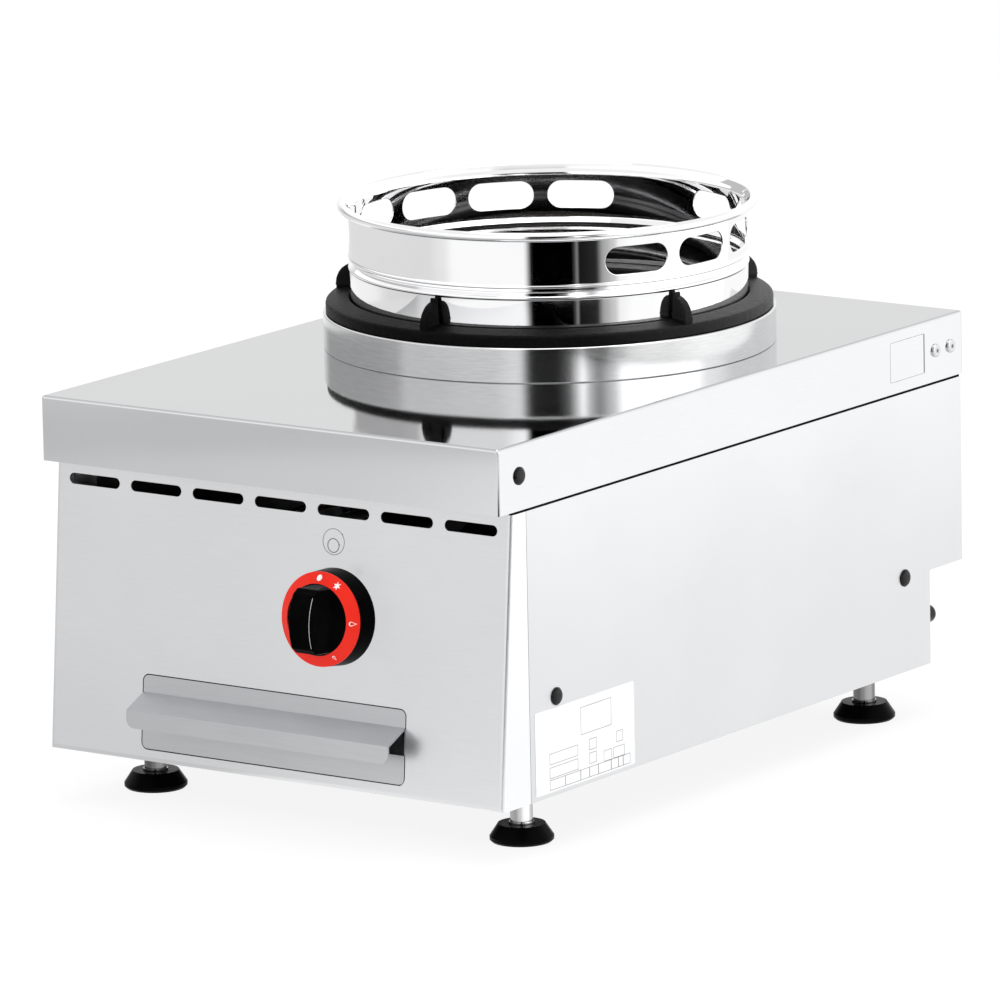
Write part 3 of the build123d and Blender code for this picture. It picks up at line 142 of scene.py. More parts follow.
def make_camera():
    data = bpy.data.cameras.new("camera")
    data.sensor_width = 36
    data.lens = CAMERA_LENS
    data.clip_end = 100
    camera = bpy.data.objects.new("camera", data)
    back = CAMERA_RIGHT.cross(CAMERA_UP)
    turn = Matrix((CAMERA_RIGHT, CAMERA_UP, back)).transposed()
    camera.matrix_world = Matrix.Translation(CAMERA_PLACE) @ turn.to_4x4()
    bpy.context.scene.collection.objects.link(camera)
    bpy.context.scene.camera = camera


# ------------------------------------------------------------------ materials
class Nodes:
    """A short way to write a material's node tree."""

    def __init__(self, name):
        self.material = bpy.data.materials.new(name)
        self.material.use_nodes = True
        self.tree = self.material.node_tree
        self.shader = self.tree.nodes["Principled BSDF"]
        self.place = self.add("ShaderNodeTexCoord").outputs["Object"]

    def add(self, kind, **values):
        node = self.tree.nodes.new(kind)
        for name, value in values.items():
            setattr(node, name, value)
        return node

    def link(self, output, target):
        self.tree.links.new(output, target)

    def noise(self, scale, detail=4, stretch=(1, 1, 1), roughness=0.55):
        mapping = self.add("ShaderNodeMapping")
        mapping.inputs["Scale"].default_value = stretch
        self.link(self.place, mapping.inputs["Vector"])
        node = self.add("ShaderNodeTexNoise")
        node.inputs["Scale"].default_value = scale
        node.inputs["Detail"].default_value = detail
        node.inputs["Roughness"].default_value = roughness
        self.link(mapping.outputs["Vector"], node.inputs["Vector"])
        return node.outputs["Fac"]

    def ramp(self, value, low, high, start=0.0, end=1.0):
        node = self.add("ShaderNodeMapRange")
        node.inputs["From Min"].default_value = low
        node.inputs["From Max"].default_value = high
        node.inputs["To Min"].default_value = start
        node.inputs["To Max"].default_value = end
        self.link(value, node.inputs["Value"])
        return node.outputs["Result"]

    def math(self, operation, *values):
        node = self.add("ShaderNodeMath", operation=operation)
        for socket, value in zip(node.inputs, values):
            if isinstance(value, (int, float)):
                socket.default_value = value
            else:
                self.link(value, socket)
        return node.outputs["Value"]

    def mix(self, factor, one, two):
        node = self.add("ShaderNodeMix", data_type="RGBA")
        self.link(factor, node.inputs["Factor"])
        node.inputs["A"].default_value = (*one, 1)
        node.inputs["B"].default_value = (*two, 1)
        return node.outputs["Result"]

    def bump(self, height, distance, strength=1.0, normal=None):
        node = self.add("ShaderNodeBump")
        node.inputs["Distance"].default_value = distance
        node.inputs["Strength"].default_value = strength
        self.link(height, node.inputs["Height"])
        if normal is not None:
            self.link(normal, node.inputs["Normal"])
        return node.outputs["Normal"]

    def set(self, **values):
        for name, value in values.items():
            socket = self.shader.inputs[name.replace("_", " ")]
            if isinstance(value, (int, float, tuple)):
                socket.default_value = value
            else:
                self.link(value, socket)


class WorldNodes(Nodes):
    """The same for the world, where the place is the direction looked in."""

    def __init__(self, name):
        self.world = bpy.data.worlds.new(name)
        self.world.use_nodes = True
        self.tree = self.world.node_tree
        self.shader = self.tree.nodes["Background"]
        self.place = self.add("ShaderNodeTexCoord").outputs["Generated"]


HEADING = Vector((CAMERA_PLACE.x, CAMERA_PLACE.y - BURNER_Y)).normalized()


def glow_only(nodes, strength):
    nodes.set(
        Base_Color=(0, 0, 0, 1), Roughness=1.0, Emission_Color=(1, 1, 1, 1), Emission_Strength=strength,
    )
    nodes.shader.inputs["Specular IOR Level"].default_value = 0.0
    return nodes.material


def summed(nodes, one, one_share, two, two_share):
    """Two values, each times its share, added up."""
    return nodes.math("ADD", nodes.math("MULTIPLY", one, one_share), nodes.math("MULTIPLY", two, two_share))


def turned_from(nodes, x, y):
    """Angle in degrees round the upright axis from the camera's heading to (x, y), and the distance."""
    ahead = summed(nodes, x, HEADING.x, y, HEADING.y)
    aside = summed(nodes, y, HEADING.x, x, -HEADING.y)
    turn = nodes.math("MULTIPLY", nodes.math("ARCTAN2", aside, ahead), 180 / math.pi)
    return turn, nodes.math("SQRT", summed(nodes, ahead, ahead, aside, aside))


def through(nodes, value, stops):
    """A smooth curve through (value, brightness) stops."""
    low, high = stops[0][0], stops[-1][0]
    ramp = nodes.add("ShaderNodeValToRGB")
    ramp.color_ramp.interpolation = "EASE"
    elements = ramp.color_ramp.elements
    while len(elements) < len(stops):
        elements.new(0.5)
    for element, (at, shade) in zip(elements, stops):
        element.position = (at - low) / (high - low)
        element.color = (shade, shade, shade, 1)
    nodes.link(nodes.ramp(value, low, high), ramp.inputs["Fac"])
    return ramp.outputs["Color"]


def blended(nodes, factor, one, two):
    mix = nodes.add("ShaderNodeMix", data_type="RGBA")
    nodes.link(factor, mix.inputs["Factor"])
    for name, value in (("A", one), ("B", two)):
        if isinstance(value, (int, float)):
            mix.inputs[name].default_value = (value, value, value, 1)
        else:
            nodes.link(value, mix.inputs[name])
    return mix.outputs["Result"]


def facing(nodes, what, axis):
    """One axis of the surface's normal or position in the room."""
    apart = nodes.add("ShaderNodeSeparateXYZ")
    nodes.link(nodes.add("ShaderNodeNewGeometry").outputs[what], apart.inputs["Vector"])
    return apart.outputs[axis]


def round_burner(nodes):
    """The surface's own angle round the burner's axis from the camera's heading."""
    across = facing(nodes, "Position", "X")
    along = nodes.math("SUBTRACT", facing(nodes, "Position", "Y"), BURNER_Y)
    return turned_from(nodes, across, along)[0]


def shaded(nodes, colour, shade):
    """The colour times a brightness."""
    mix = nodes.add("ShaderNodeMix", data_type="RGBA", blend_type="MULTIPLY")
    mix.inputs["Factor"].default_value = 1.0
    nodes.link(colour, mix.inputs["A"])
    nodes.link(shade, mix.inputs["B"])
    return mix.outputs["Result"]


def brushed_steel(name, light, dark, roughness, spread, grain, grain_scale, grain_depth, anisotropy=0.0,
                  painted_top_shade=1.0, painted_cheek_light=1.0):
    """Rolled sheet: fine grain along one direction, slow clouds of sheen, faint handling marks.

    Painted shade darkens its upward faces, and painted light brightens the front panel's right-hand side
    fold, for how light falls on them. With anisotropy, the grain runs round the upright axis.
    """
    nodes = Nodes(name)
    fine = nodes.noise(grain_scale, detail=3, stretch=grain, roughness=0.7)
    clouds = nodes.noise(9, detail=3)
    specks = nodes.noise(420, detail=2)
    tone = summed(nodes, fine, 0.55, clouds, 0.45)
    rough = nodes.ramp(tone, 0.3, 0.7, roughness - spread, roughness + spread)
    bump = nodes.bump(fine, 0.00004, grain_depth)
    bump = nodes.bump(specks, 0.00002, grain_depth / 2, bump)
    colour = nodes.mix(nodes.ramp(tone, 0.3, 0.7), dark, light)
    # Painted shade: the upward faces are darkened for how light falls on them.
    if painted_top_shade != 1.0:
        colour = shaded(nodes, colour, nodes.ramp(facing(nodes, "Normal", "Z"), 0.5, 0.95, 1.0, painted_top_shade))
    # Painted light: the front panel's right-hand side fold is lightened for how light falls on it.
    if painted_cheek_light != 1.0:
        side = nodes.ramp(facing(nodes, "Normal", "X"), 0.9, 0.99)
        front = nodes.ramp(facing(nodes, "Position", "Y"), CHEEK_REAR - 0.001, CHEEK_REAR, 1.0, 0.0)
        painted_cheek_mask = nodes.math("MULTIPLY", side, front)
        colour = shaded(nodes, colour, nodes.ramp(painted_cheek_mask, 0.0, 1.0, 1.0, painted_cheek_light))
    nodes.set(
        Base_Color=colour, Metallic=1.0, Roughness=rough, Normal=bump, Anisotropic=anisotropy,
    )
    if anisotropy:
        tangent = nodes.add("ShaderNodeTangent", direction_type="RADIAL", axis="Z")
        nodes.link(tangent.outputs["Tangent"], nodes.shader.inputs["Tangent"])
        nodes.shader.inputs["Anisotropic Rotation"].default_value = 0.25
    return nodes.material


def mirror_steel(name, light, dark, roughness):
    """Polished steel with the faint haze and hairlines that buffing leaves."""
    nodes = Nodes(name)
    haze = nodes.noise(22, detail=3)
    hairs = nodes.noise(900, detail=2, stretch=(0.05, 0.05, 1.0))
    nodes.set(
        Base_Color=nodes.mix(nodes.ramp(haze, 0.3, 0.7), dark, light), Metallic=1.0,
        Roughness=nodes.ramp(haze, 0.35, 0.7, roughness, 2.2 * roughness),
        Normal=nodes.bump(hairs, 0.000004, 0.25),
    )
    return nodes.material


# Painted reflection in a chromed tube's colour, by the way its surface faces, and painted shade on each foot
# by its place round the burner
PAINTED_TUBE_REFLECTION = [
    (-180, 0.30), (-110, 0.12), (-82, 0.10), (-60, 0.34), (-30, 0.30), (-8, 0.52), (14, 0.86), (34, 0.94),
    (56, 0.50), (80, 0.22), (110, 0.18), (180, 0.30),
]
PAINTED_FOOT_SHADE = [(-180, 0.45), (-50, 0.42), (-25, 1.12), (25, 1.12), (50, 0.42), (180, 0.45)]


def plated_tube(name, roughness):
    """Chromed tube whose colour holds a painted reflection of dark underside beside bright floor, and painted
    foot shade.
    """
    nodes = Nodes(name)
    turn = turned_from(nodes, facing(nodes, "Normal", "X"), facing(nodes, "Normal", "Y"))[0]
    specks = nodes.noise(300, detail=3)
    # Painted shade: feet to the left and rear are darkened for the shadow under the range.
    foot = through(nodes, round_burner(nodes), PAINTED_FOOT_SHADE)
    nodes.set(
        # Painted reflection: the tube's colour follows the way its surface faces.
        Base_Color=shaded(nodes, through(nodes, turn, PAINTED_TUBE_REFLECTION), foot), Metallic=1.0,
        Roughness=nodes.ramp(specks, 0.3, 0.7, roughness - 0.03, roughness + 0.03),
        Normal=nodes.bump(specks, 0.00001, 0.2),
    )
    return nodes.material


# Painted sheen on the trivet: its specular level by angle round the burner from the camera's heading
PAINTED_IRON_SHEEN = [
    (-180, 0.16), (-90, 0.06), (-40, 0.03), (5, 0.04), (30, 0.13), (70, 0.26), (110, 0.28), (180, 0.16),
]


def cast_metal(name, light, dark, roughness, metallic, grain_scale, grain_height, specular):
    """Sand-cast skin: pits and grains in two sizes, paler where rubbed. Its sheen is a value, or painted
    sheen by stops.
    """
    nodes = Nodes(name)
    coarse = nodes.noise(grain_scale, detail=5, roughness=0.65)
    fine = nodes.noise(4.5 * grain_scale, detail=4, roughness=0.7)
    both = summed(nodes, coarse, 0.6, fine, 0.4)
    bump = nodes.bump(coarse, grain_height, 0.8)
    bump = nodes.bump(fine, grain_height / 3, 0.8, bump)
    nodes.set(
        Base_Color=nodes.mix(nodes.ramp(both, 0.35, 0.72), dark, light),
        Metallic=metallic, Normal=bump,
        Roughness=nodes.ramp(both, 0.3, 0.7, roughness + 0.1, roughness - 0.08),
    )
    # Painted sheen: with stops, the specular level follows the angle round the burner from the camera's
    # heading.
    if isinstance(specular, list):
        nodes.link(through(nodes, round_burner(nodes), specular), nodes.shader.inputs["Specular IOR Level"])
    else:
        nodes.shader.inputs["Specular IOR Level"].default_value = specular
    return nodes.material


def drawn_metal(name, light, dark, roughness, grain_scale):
    """Pipe and turned stock: thin tarnish over fine turning marks."""
    nodes = Nodes(name)
    tarnish = nodes.noise(60, detail=5)
    marks = nodes.noise(grain_scale, detail=2, stretch=(1, 1, 6))
    nodes.set(
        Base_Color=nodes.mix(nodes.ramp(tarnish, 0.35, 0.7), dark, light),
        Metallic=1.0, Roughness=nodes.ramp(tarnish, 0.3, 0.7, roughness - 0.06, roughness + 0.12),
        Normal=nodes.bump(marks, 0.00003, 0.4),
    )
    return nodes.material


def plastic(name, light, dark, roughness, grain_scale, grain_height, specular=0.5):
    """Moulded plastic, rubber or enamel: spark-eroded grain and a little dust in it."""
    nodes = Nodes(name)
    grain = nodes.noise(grain_scale, detail=3)
    wear = nodes.noise(55, detail=4)
    nodes.set(
        Base_Color=nodes.mix(nodes.ramp(wear, 0.35, 0.75), dark, light),
        Roughness=nodes.ramp(wear, 0.3, 0.7, roughness - 0.05, roughness + 0.07),
        Normal=nodes.bump(grain, grain_height, 0.5),
    )
    nodes.shader.inputs["Specular IOR Level"].default_value = specular
    return nodes.material


# How far the grain is drawn out along an axis
ALONG_X = (0.03, 1.0, 1.0)
ALONG_Y = (1.0, 0.03, 1.0)
ROUND_Z = (0.08, 0.08, 1.0)


def make_materials():
    """Every finish, by the name of the slot that takes it."""
    finishes = {
        "worktop_steel": (brushed_steel, dict(
            light=(0.71, 0.715, 0.725), dark=(0.67, 0.675, 0.69), roughness=0.05, spread=0.015,
            grain=ALONG_Y, grain_scale=1500, grain_depth=0.12, painted_top_shade=0.72)),
        "panel_steel": (brushed_steel, dict(
            light=(0.77, 0.775, 0.785), dark=(0.72, 0.725, 0.735), roughness=0.30, spread=0.03,
            grain=ALONG_X, grain_scale=1500, grain_depth=0.10, painted_cheek_light=1.24)),
        "tray_steel": (brushed_steel, dict(
            light=(0.57, 0.575, 0.59), dark=(0.51, 0.515, 0.53), roughness=0.36, spread=0.04, grain=ALONG_X,
            grain_scale=900, grain_depth=0.12)),
        "skirt_steel": (brushed_steel, dict(
            light=(0.74, 0.74, 0.745), dark=(0.62, 0.625, 0.63), roughness=0.15, spread=0.03, grain=ROUND_Z,
            grain_scale=900, grain_depth=0.2, anisotropy=0.75)),
        # Painted shade: the inner steel is darkened for the shade inside the body.
        "inner_steel": (brushed_steel, dict(
            light=(0.12, 0.12, 0.125), dark=(0.08, 0.08, 0.085), roughness=0.45, spread=0.05, grain=ALONG_X,
            grain_scale=900, grain_depth=0.35)),
        "well_steel": (brushed_steel, dict(
            light=(0.040, 0.040, 0.040), dark=(0.018, 0.018, 0.018), roughness=0.48, spread=0.08,
            grain=ROUND_Z, grain_scale=700, grain_depth=0.35)),
        "screw_steel": (brushed_steel, dict(
            light=(0.72, 0.72, 0.72), dark=(0.55, 0.55, 0.55), roughness=0.26, spread=0.05, grain=ALONG_Y,
            grain_scale=2500, grain_depth=0.35)),
        "label_silver": (plastic, dict(
            light=(0.90, 0.90, 0.905), dark=(0.84, 0.84, 0.85), roughness=0.42, grain_scale=1800,
            grain_height=0.000006)),
        "mirror_steel": (mirror_steel, dict(
            light=(0.95, 0.95, 0.955), dark=(0.91, 0.91, 0.92), roughness=0.02)),
        "foot_chrome": (plated_tube, dict(roughness=0.14)),
        "cast_iron": (cast_metal, dict(
            light=(0.008, 0.008, 0.0085), dark=(0.001, 0.001, 0.001), roughness=0.42, metallic=0.0,
            grain_scale=520, grain_height=0.0005, specular=PAINTED_IRON_SHEEN)),
        "burner_iron": (cast_metal, dict(
            light=(0.012, 0.012, 0.012), dark=(0.004, 0.004, 0.004), roughness=0.62, metallic=0.0,
            grain_scale=420, grain_height=0.0004, specular=0.15)),
        "burner_brass": (cast_metal, dict(
            light=(0.050, 0.044, 0.034), dark=(0.018, 0.016, 0.013), roughness=0.45, metallic=1.0,
            grain_scale=260, grain_height=0.0001, specular=0.5)),
        "tap_brass": (drawn_metal, dict(
            light=(0.66, 0.49, 0.22), dark=(0.48, 0.33, 0.13), roughness=0.28, grain_scale=700)),
        "pipe_steel": (drawn_metal, dict(
            light=(0.52, 0.52, 0.53), dark=(0.36, 0.36, 0.36), roughness=0.34, grain_scale=700)),
        "pipe_aluminium": (drawn_metal, dict(
            light=(0.74, 0.75, 0.76), dark=(0.60, 0.61, 0.62), roughness=0.34, grain_scale=900)),
        "lead_copper": (drawn_metal, dict(
            light=(0.72, 0.34, 0.20), dark=(0.45, 0.20, 0.12), roughness=0.34, grain_scale=1200)),
        "lead_sleeve": (plastic, dict(
            light=(0.045, 0.045, 0.05), dark=(0.02, 0.02, 0.022), roughness=0.52, grain_scale=900,
            grain_height=0.00003)),
        "ceramic": (plastic, dict(
            light=(0.82, 0.80, 0.75), dark=(0.70, 0.67, 0.60), roughness=0.30, grain_scale=500,
            grain_height=0.00002)),
        "knob_black": (plastic, dict(
            light=(0.002, 0.002, 0.002), dark=(0.0005, 0.0005, 0.0005), roughness=0.30, grain_scale=2400,
            grain_height=0.000012, specular=0.012)),
        "knob_red": (plastic, dict(
            light=(0.86, 0.030, 0.016), dark=(0.80, 0.024, 0.013), roughness=0.36, grain_scale=2200,
            grain_height=0.00001, specular=0.08)),
        "mark_white": (plastic, dict(
            light=(0.94, 0.94, 0.93), dark=(0.86, 0.86, 0.85), roughness=0.40, grain_scale=2200,
            grain_height=0.000005)),
        # Painted highlight: the pale line along the knob grip's edge takes this finish.
        "mark_silver": (plastic, dict(
            light=(0.60, 0.60, 0.60), dark=(0.45, 0.45, 0.46), roughness=0.40, grain_scale=2200,
            grain_height=0.000005)),
        "mark_grey": (plastic, dict(
            light=(0.24, 0.24, 0.25), dark=(0.17, 0.17, 0.18), roughness=0.45, grain_scale=2200,
            grain_height=0.000005, specular=0.2)),
        "black_plastic": (plastic, dict(
            light=(0.003, 0.003, 0.003), dark=(0.001, 0.001, 0.001), roughness=0.16, grain_scale=1500,
            grain_height=0.00001, specular=0.25)),
        "foot_black": (plastic, dict(
            light=(0.002, 0.002, 0.002), dark=(0.0005, 0.0005, 0.0005), roughness=0.26, grain_scale=1100,
            grain_height=0.00003, specular=0.035)),
        "seal_black": (plastic, dict(
            light=(0.004, 0.004, 0.004), dark=(0.002, 0.002, 0.002), roughness=0.60, grain_scale=900,
            grain_height=0.00004, specular=0.05)),
    }
    return {name: make(name, **values) for name, (make, values) in finishes.items()}


def dress_frame(materials):
    """Every node of the frame takes the finish of its own slot."""
    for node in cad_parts.values():
        for index, slot in enumerate(node.data.materials):
            node.data.materials[index] = materials[slot.name.split(".")[0]]
    for name in ("knob_body", "knob_ring"):
        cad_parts[name].visible_glossy = False     # the panel behind shows no image of the knob


# ------------------------------------------------------------------ mesh helpers
def add_piece(name, vertices, faces, material, body, normals=None):
    mesh = bpy.data.meshes.new(name)
    mesh.from_pydata([tuple(v) for v in vertices], [], faces)
    mesh.polygons.foreach_set("use_smooth", [True] * len(mesh.polygons))
    mesh.materials.append(material)
    mesh.update()
    if normals is not None:
        mesh.normals_split_custom_set_from_vertices([tuple(n) for n in normals])
    piece = bpy.data.objects.new(name, mesh)
    bpy.context.scene.collection.objects.link(piece)
    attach(piece, body)
    return piece


def rounded(points, radii, steps=6):
    """An outline's points with each inner corner turned into an arc of its radius."""
    line = [Vector(points[0])]
    for before, corner, after, radius in zip(points, points[1:], points[2:], radii[1:]):
        corner = Vector(corner)
        back = (Vector(before) - corner).normalized()
        ahead = (Vector(after) - corner).normalized()
        half = back.angle(ahead) / 2
        if radius <= 0 or half > math.radians(89):
            line.append(corner)
            continue
        reach = radius / math.tan(half)
        centre = corner + (back + ahead).normalized() * (radius / math.sin(half))
        start = corner + back * reach - centre
        end = corner + ahead * reach - centre
        sweep = start.angle_signed(end)
        for index in range(steps + 1):
            angle = -sweep * index / steps
            turned = Vector((
                start.x * math.cos(angle) - start.y * math.sin(angle),
                start.x * math.sin(angle) + start.y * math.cos(angle),
            ))
            line.append(centre + turned)
    line.append(Vector(points[-1]))
    return line


def outline_normals(line, closed):
    """Normals to the right of the way that the outline runs."""
    normals = []
    for index in range(len(line)):
        before = line[index - 1] if closed or index else line[0]
        after = line[(index + 1) % len(line)] if closed or index + 1 < len(line) else line[-1]
        run = (after - before).normalized()
        normals.append(Vector((run.y, -run.x)))
    return normals


def round_place(radius, angle, height):
    return Vector((BURNER_X + radius * math.cos(angle), BURNER_Y + radius * math.sin(angle), height))


def lathe(line, segments):
    """Vertices, faces and normals of a closed outline of (radius, height) turned round the burner's axis."""
    normals = outline_normals(line, True)
    vertices = []
    directions = []
    for index in range(segments):
        angle = 2 * math.pi * index / segments
        for point, normal in zip(line, normals):
            vertices.append(round_place(point.x, angle, point.y))
            directions.append(Vector((normal.x * math.cos(angle), normal.x * math.sin(angle), normal.y)))
    rows = len(line)
    faces = []
    for index in range(segments):
        for row in range(rows):
            one = index * rows + row
            two = index * rows + (row + 1) % rows
            three = ((index + 1) % segments) * rows + (row + 1) % rows
            four = ((index + 1) % segments) * rows + row
            faces.append((one, four, three, two))
    return vertices, faces, directions


def roughen(vertices, normals, height, scale):
    """Moves points along their normals by a cast skin's grain."""
    out = []
    for vertex, normal in zip(vertices, normals):
        grain = noise.noise(vertex * scale) + 0.5 * noise.noise(vertex * scale * 2.3)
        out.append(vertex + normal * grain * height)
    return out


# ------------------------------------------------------------------ wok ring
def wall_profile(inset):
    """Outline (radius, height) of the wall from foot to flare, moved in by the sheet."""
    body = WALL_RADIUS - inset
    low = GROOVE_HEIGHT - GROOVE_WIDTH / 2
    high = GROOVE_HEIGHT + GROOVE_WIDTH / 2
    return [
        (body - WALL_FOOT_TAPER, 0),
        (body, low - 2 * GROOVE_RUN),
        (body + RIDGE, low - GROOVE_RUN),
        (body - GROOVE_DEPTH, low + GROOVE_RUN),
        (body - GROOVE_DEPTH, high - GROOVE_RUN),
        (body + RIDGE, high + GROOVE_RUN),
        (body, high + 2 * GROOVE_RUN),
        (body, SLOT_CENTRE - SLOT_BAND / 2),
    ]


def wall_below_slots(inset):
    radii = [0, 2.0, 1.6, 1.1, 1.1, 1.6, 2.0, 0]
    return rounded(wall_profile(inset), [radius * MM for radius in radii])


def bead_outline():
    """From the outer wall above the slots, round the rolled rim and back to the inner wall."""
    height = RING_HIGH.z - RING_LOW.z
    bead = Vector((RING_HIGH.x - BURNER_X - BEAD_RADIUS, height - BEAD_RADIUS))
    band_top = SLOT_CENTRE + SLOT_BAND / 2
    flare_low = bead.y - FLARE_HEIGHT
    start = math.radians(-108)
    end = math.radians(140)
    steps = 30
    roll = []
    for index in range(steps + 1):
        angle = start + (end - start) * index / steps
        roll.append(bead + Vector((math.cos(angle), math.sin(angle))) * BEAD_RADIUS)
    outside = rounded(
        [
            (WALL_RADIUS, band_top),
            (WALL_RADIUS, flare_low + 1.5 * MM),
            (WALL_RADIUS + FLARE_STEP, bead.y - FLARE_HEIGHT / 3),
            roll[0],
        ],
        [0, 2.5 * MM, 1.2 * MM, 0],
    )
    inner_radius = WALL_RADIUS - WALL_SHEET
    inside = rounded(
        [
            roll[-1],
            (inner_radius + FLARE_STEP, bead.y - FLARE_HEIGHT / 3),
            (inner_radius, flare_low),
            (inner_radius, band_top),
        ],
        [0, 4 * MM, 5 * MM, 0],
    )
    return outside[:-1] + roll + inside[1:]


class RingMesh:
    """Collects the wok ring's vertices with their true normals."""

    def __init__(self):
        self.vertices = []
        self.normals = []
        self.faces = []

    def add(self, radius, angle, height, normal):
        across, up, along = normal
        self.vertices.append(round_place(radius, angle, RING_LOW.z + height))
        self.normals.append(Vector((
            across * math.cos(angle) - along * math.sin(angle),
            across * math.sin(angle) + along * math.cos(angle),
            up,
        )))
        return len(self.vertices) - 1

    def strip(self, one, two, closed=True):
        count = len(one)
        for index in range(count if closed else count - 1):
            after = (index + 1) % count
            self.faces.append((one[index], one[after], two[after], two[index]))


SECTOR_COLUMNS = 32
SECTOR_ROWS = 14
RING_COLUMNS = SLOT_SECTORS * SECTOR_COLUMNS
SLOT_HALF = SLOT_LENGTH / 2 - SLOT_HEIGHT / 2
SLOT_END = SLOT_HEIGHT / 2


def ring_angle(column):
    return SLOT_MIDDLE + 2 * math.pi * column / RING_COLUMNS


def turned_rows(ring, line):
    """An open outline turned round the burner's axis."""
    rows = []
    for point, normal in zip(line, outline_normals(line, False)):
        rows.append([
            ring.add(point.x, ring_angle(column), point.y, (normal.x, normal.y, 0))
            for column in range(RING_COLUMNS)
        ])
    for low, high in zip(rows, rows[1:]):
        ring.strip(low, high)


def slot_patch(ring, sector, radius, facing):
    """The wall round one slot, on the outer (facing 1) or inner (facing -1) skin. Gives the slot's edge."""
    centre = sector * SECTOR_COLUMNS
    half_angle = math.pi / SLOT_SECTORS
    half_width = half_angle * WALL_RADIUS
    half_band = SLOT_BAND / 2
    border = []
    for column in range(SECTOR_COLUMNS):
        border.append((-half_width + 2 * half_width * column / SECTOR_COLUMNS, -half_band))
    for row in range(SECTOR_ROWS):
        border.append((half_width, -half_band + 2 * half_band * row / SECTOR_ROWS))
    for column in range(SECTOR_COLUMNS):
        border.append((half_width - 2 * half_width * column / SECTOR_COLUMNS, half_band))
    for row in range(SECTOR_ROWS):
        border.append((-half_width, half_band - 2 * half_band * row / SECTOR_ROWS))
    edge_steps = 5
    spread = (0.12, 0.35, 0.65, 1.0)
    loops = [[] for _ in range(edge_steps + 1 + len(spread))]
    for along, up in border:
        anchor = max(-SLOT_HALF, min(SLOT_HALF, along))
        way = Vector((along - anchor, up)).normalized()
        edge = Vector((anchor, 0)) + way * SLOT_END
        for step in range(edge_steps + 1):
            turn = math.radians(90) * step / edge_steps
            out = SLOT_EDGE_ROUND * (1 - math.cos(turn))
            sunk = SLOT_EDGE_ROUND * (1 - math.sin(turn))
            place = edge + way * out
            normal = (facing * math.sin(turn), -way.y * math.cos(turn), -way.x * math.cos(turn))
            loops[step].append((radius - facing * sunk, place, normal))
        start = edge + way * SLOT_EDGE_ROUND
        for index, share in enumerate(spread):
            place = start.lerp(Vector((along, up)), share)
            loops[edge_steps + 1 + index].append((radius, place, (facing, 0, 0)))
    made = []
    for loop in loops:
        row = []
        for at_radius, place, normal in loop:
            angle = ring_angle(centre) + place.x / WALL_RADIUS
            row.append(ring.add(at_radius, angle, SLOT_CENTRE + place.y, normal))
        made.append(row)
    for inner, outer in zip(made, made[1:]):
        if facing > 0:
            ring.strip(outer, inner)
        else:
            ring.strip(inner, outer)
    return made[0]


def plain_sector(ring, sector, radius, facing):
    rows = []
    for row in range(SECTOR_ROWS + 1):
        height = SLOT_CENTRE - SLOT_BAND / 2 + SLOT_BAND * row / SECTOR_ROWS
        rows.append([
            ring.add(radius, ring_angle(sector * SECTOR_COLUMNS + column), height, (facing, 0, 0))
            for column in range(-SECTOR_COLUMNS // 2, SECTOR_COLUMNS // 2 + 1)
        ])
    for low, high in zip(rows, rows[1:]):
        if facing > 0:
            ring.strip(low, high, closed=False)
        else:
            ring.strip(high, low, closed=False)


def make_wok_ring(materials):
    ring = RingMesh()
    outside = wall_below_slots(0)
    inside = wall_below_slots(WALL_SHEET)[::-1]
    foot = [
        inside[-1] + Vector((FOOT_EASE, 0)),
        Vector(((inside[-1].x + outside[0].x) / 2, 0)),
        outside[0] - Vector((FOOT_EASE, 0)),
    ]
    inside[-1] = inside[-1] + Vector((0, FOOT_RISE))
    outside[0] = outside[0] + Vector((0, FOOT_RISE))
    turned_rows(ring, inside + foot + outside)
    turned_rows(ring, bead_outline())
    for sector in range(SLOT_SECTORS):
        from_middle = min(sector, SLOT_SECTORS - sector)
        if 1 <= from_middle <= SLOTS_EACH_SIDE:
            outer = slot_patch(ring, sector, WALL_RADIUS, 1)
            inner = slot_patch(ring, sector, WALL_RADIUS - WALL_SHEET, -1)
            ring.strip(outer, inner)
        else:
            plain_sector(ring, sector, WALL_RADIUS, 1)
            plain_sector(ring, sector, WALL_RADIUS - WALL_SHEET, -1)
    steel = materials["mirror_steel"]
    piece = add_piece(
        "polished_wok_ring", ring.vertices, ring.faces, steel, "wok_stand", ring.normals
    )
    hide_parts("wok_ring")


# ------------------------------------------------------------------ skirt and trivet
ROUND_SEGMENTS = 360


def make_skirt(materials):
    outer = SKIRT_HIGH.x - BURNER_X
    low = SKIRT_LOW.z
    high = SKIRT_HIGH.z
    inner = outer - SKIRT_SHEET
    flange = outer - SKIRT_FLANGE
    points = [
        (flange, low), (outer, low), (outer, high), (flange, high), (flange, high - SKIRT_SHEET),
        (inner, high - SKIRT_SHEET), (inner, low + SKIRT_SHEET), (flange, low + SKIRT_SHEET),
    ]
    radii = [0, 0.8 * MM, SKIRT_EDGE, 0.4 * MM, 0.4 * MM, 0.4 * MM, 0.4 * MM, 0]
    line = rounded(points, radii)
    vertices, faces, normals = lathe(line, ROUND_SEGMENTS)
    steel = materials["skirt_steel"]
    piece = add_piece("brushed_skirt", vertices, faces, steel, "base", normals)
    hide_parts("burner_skirt")


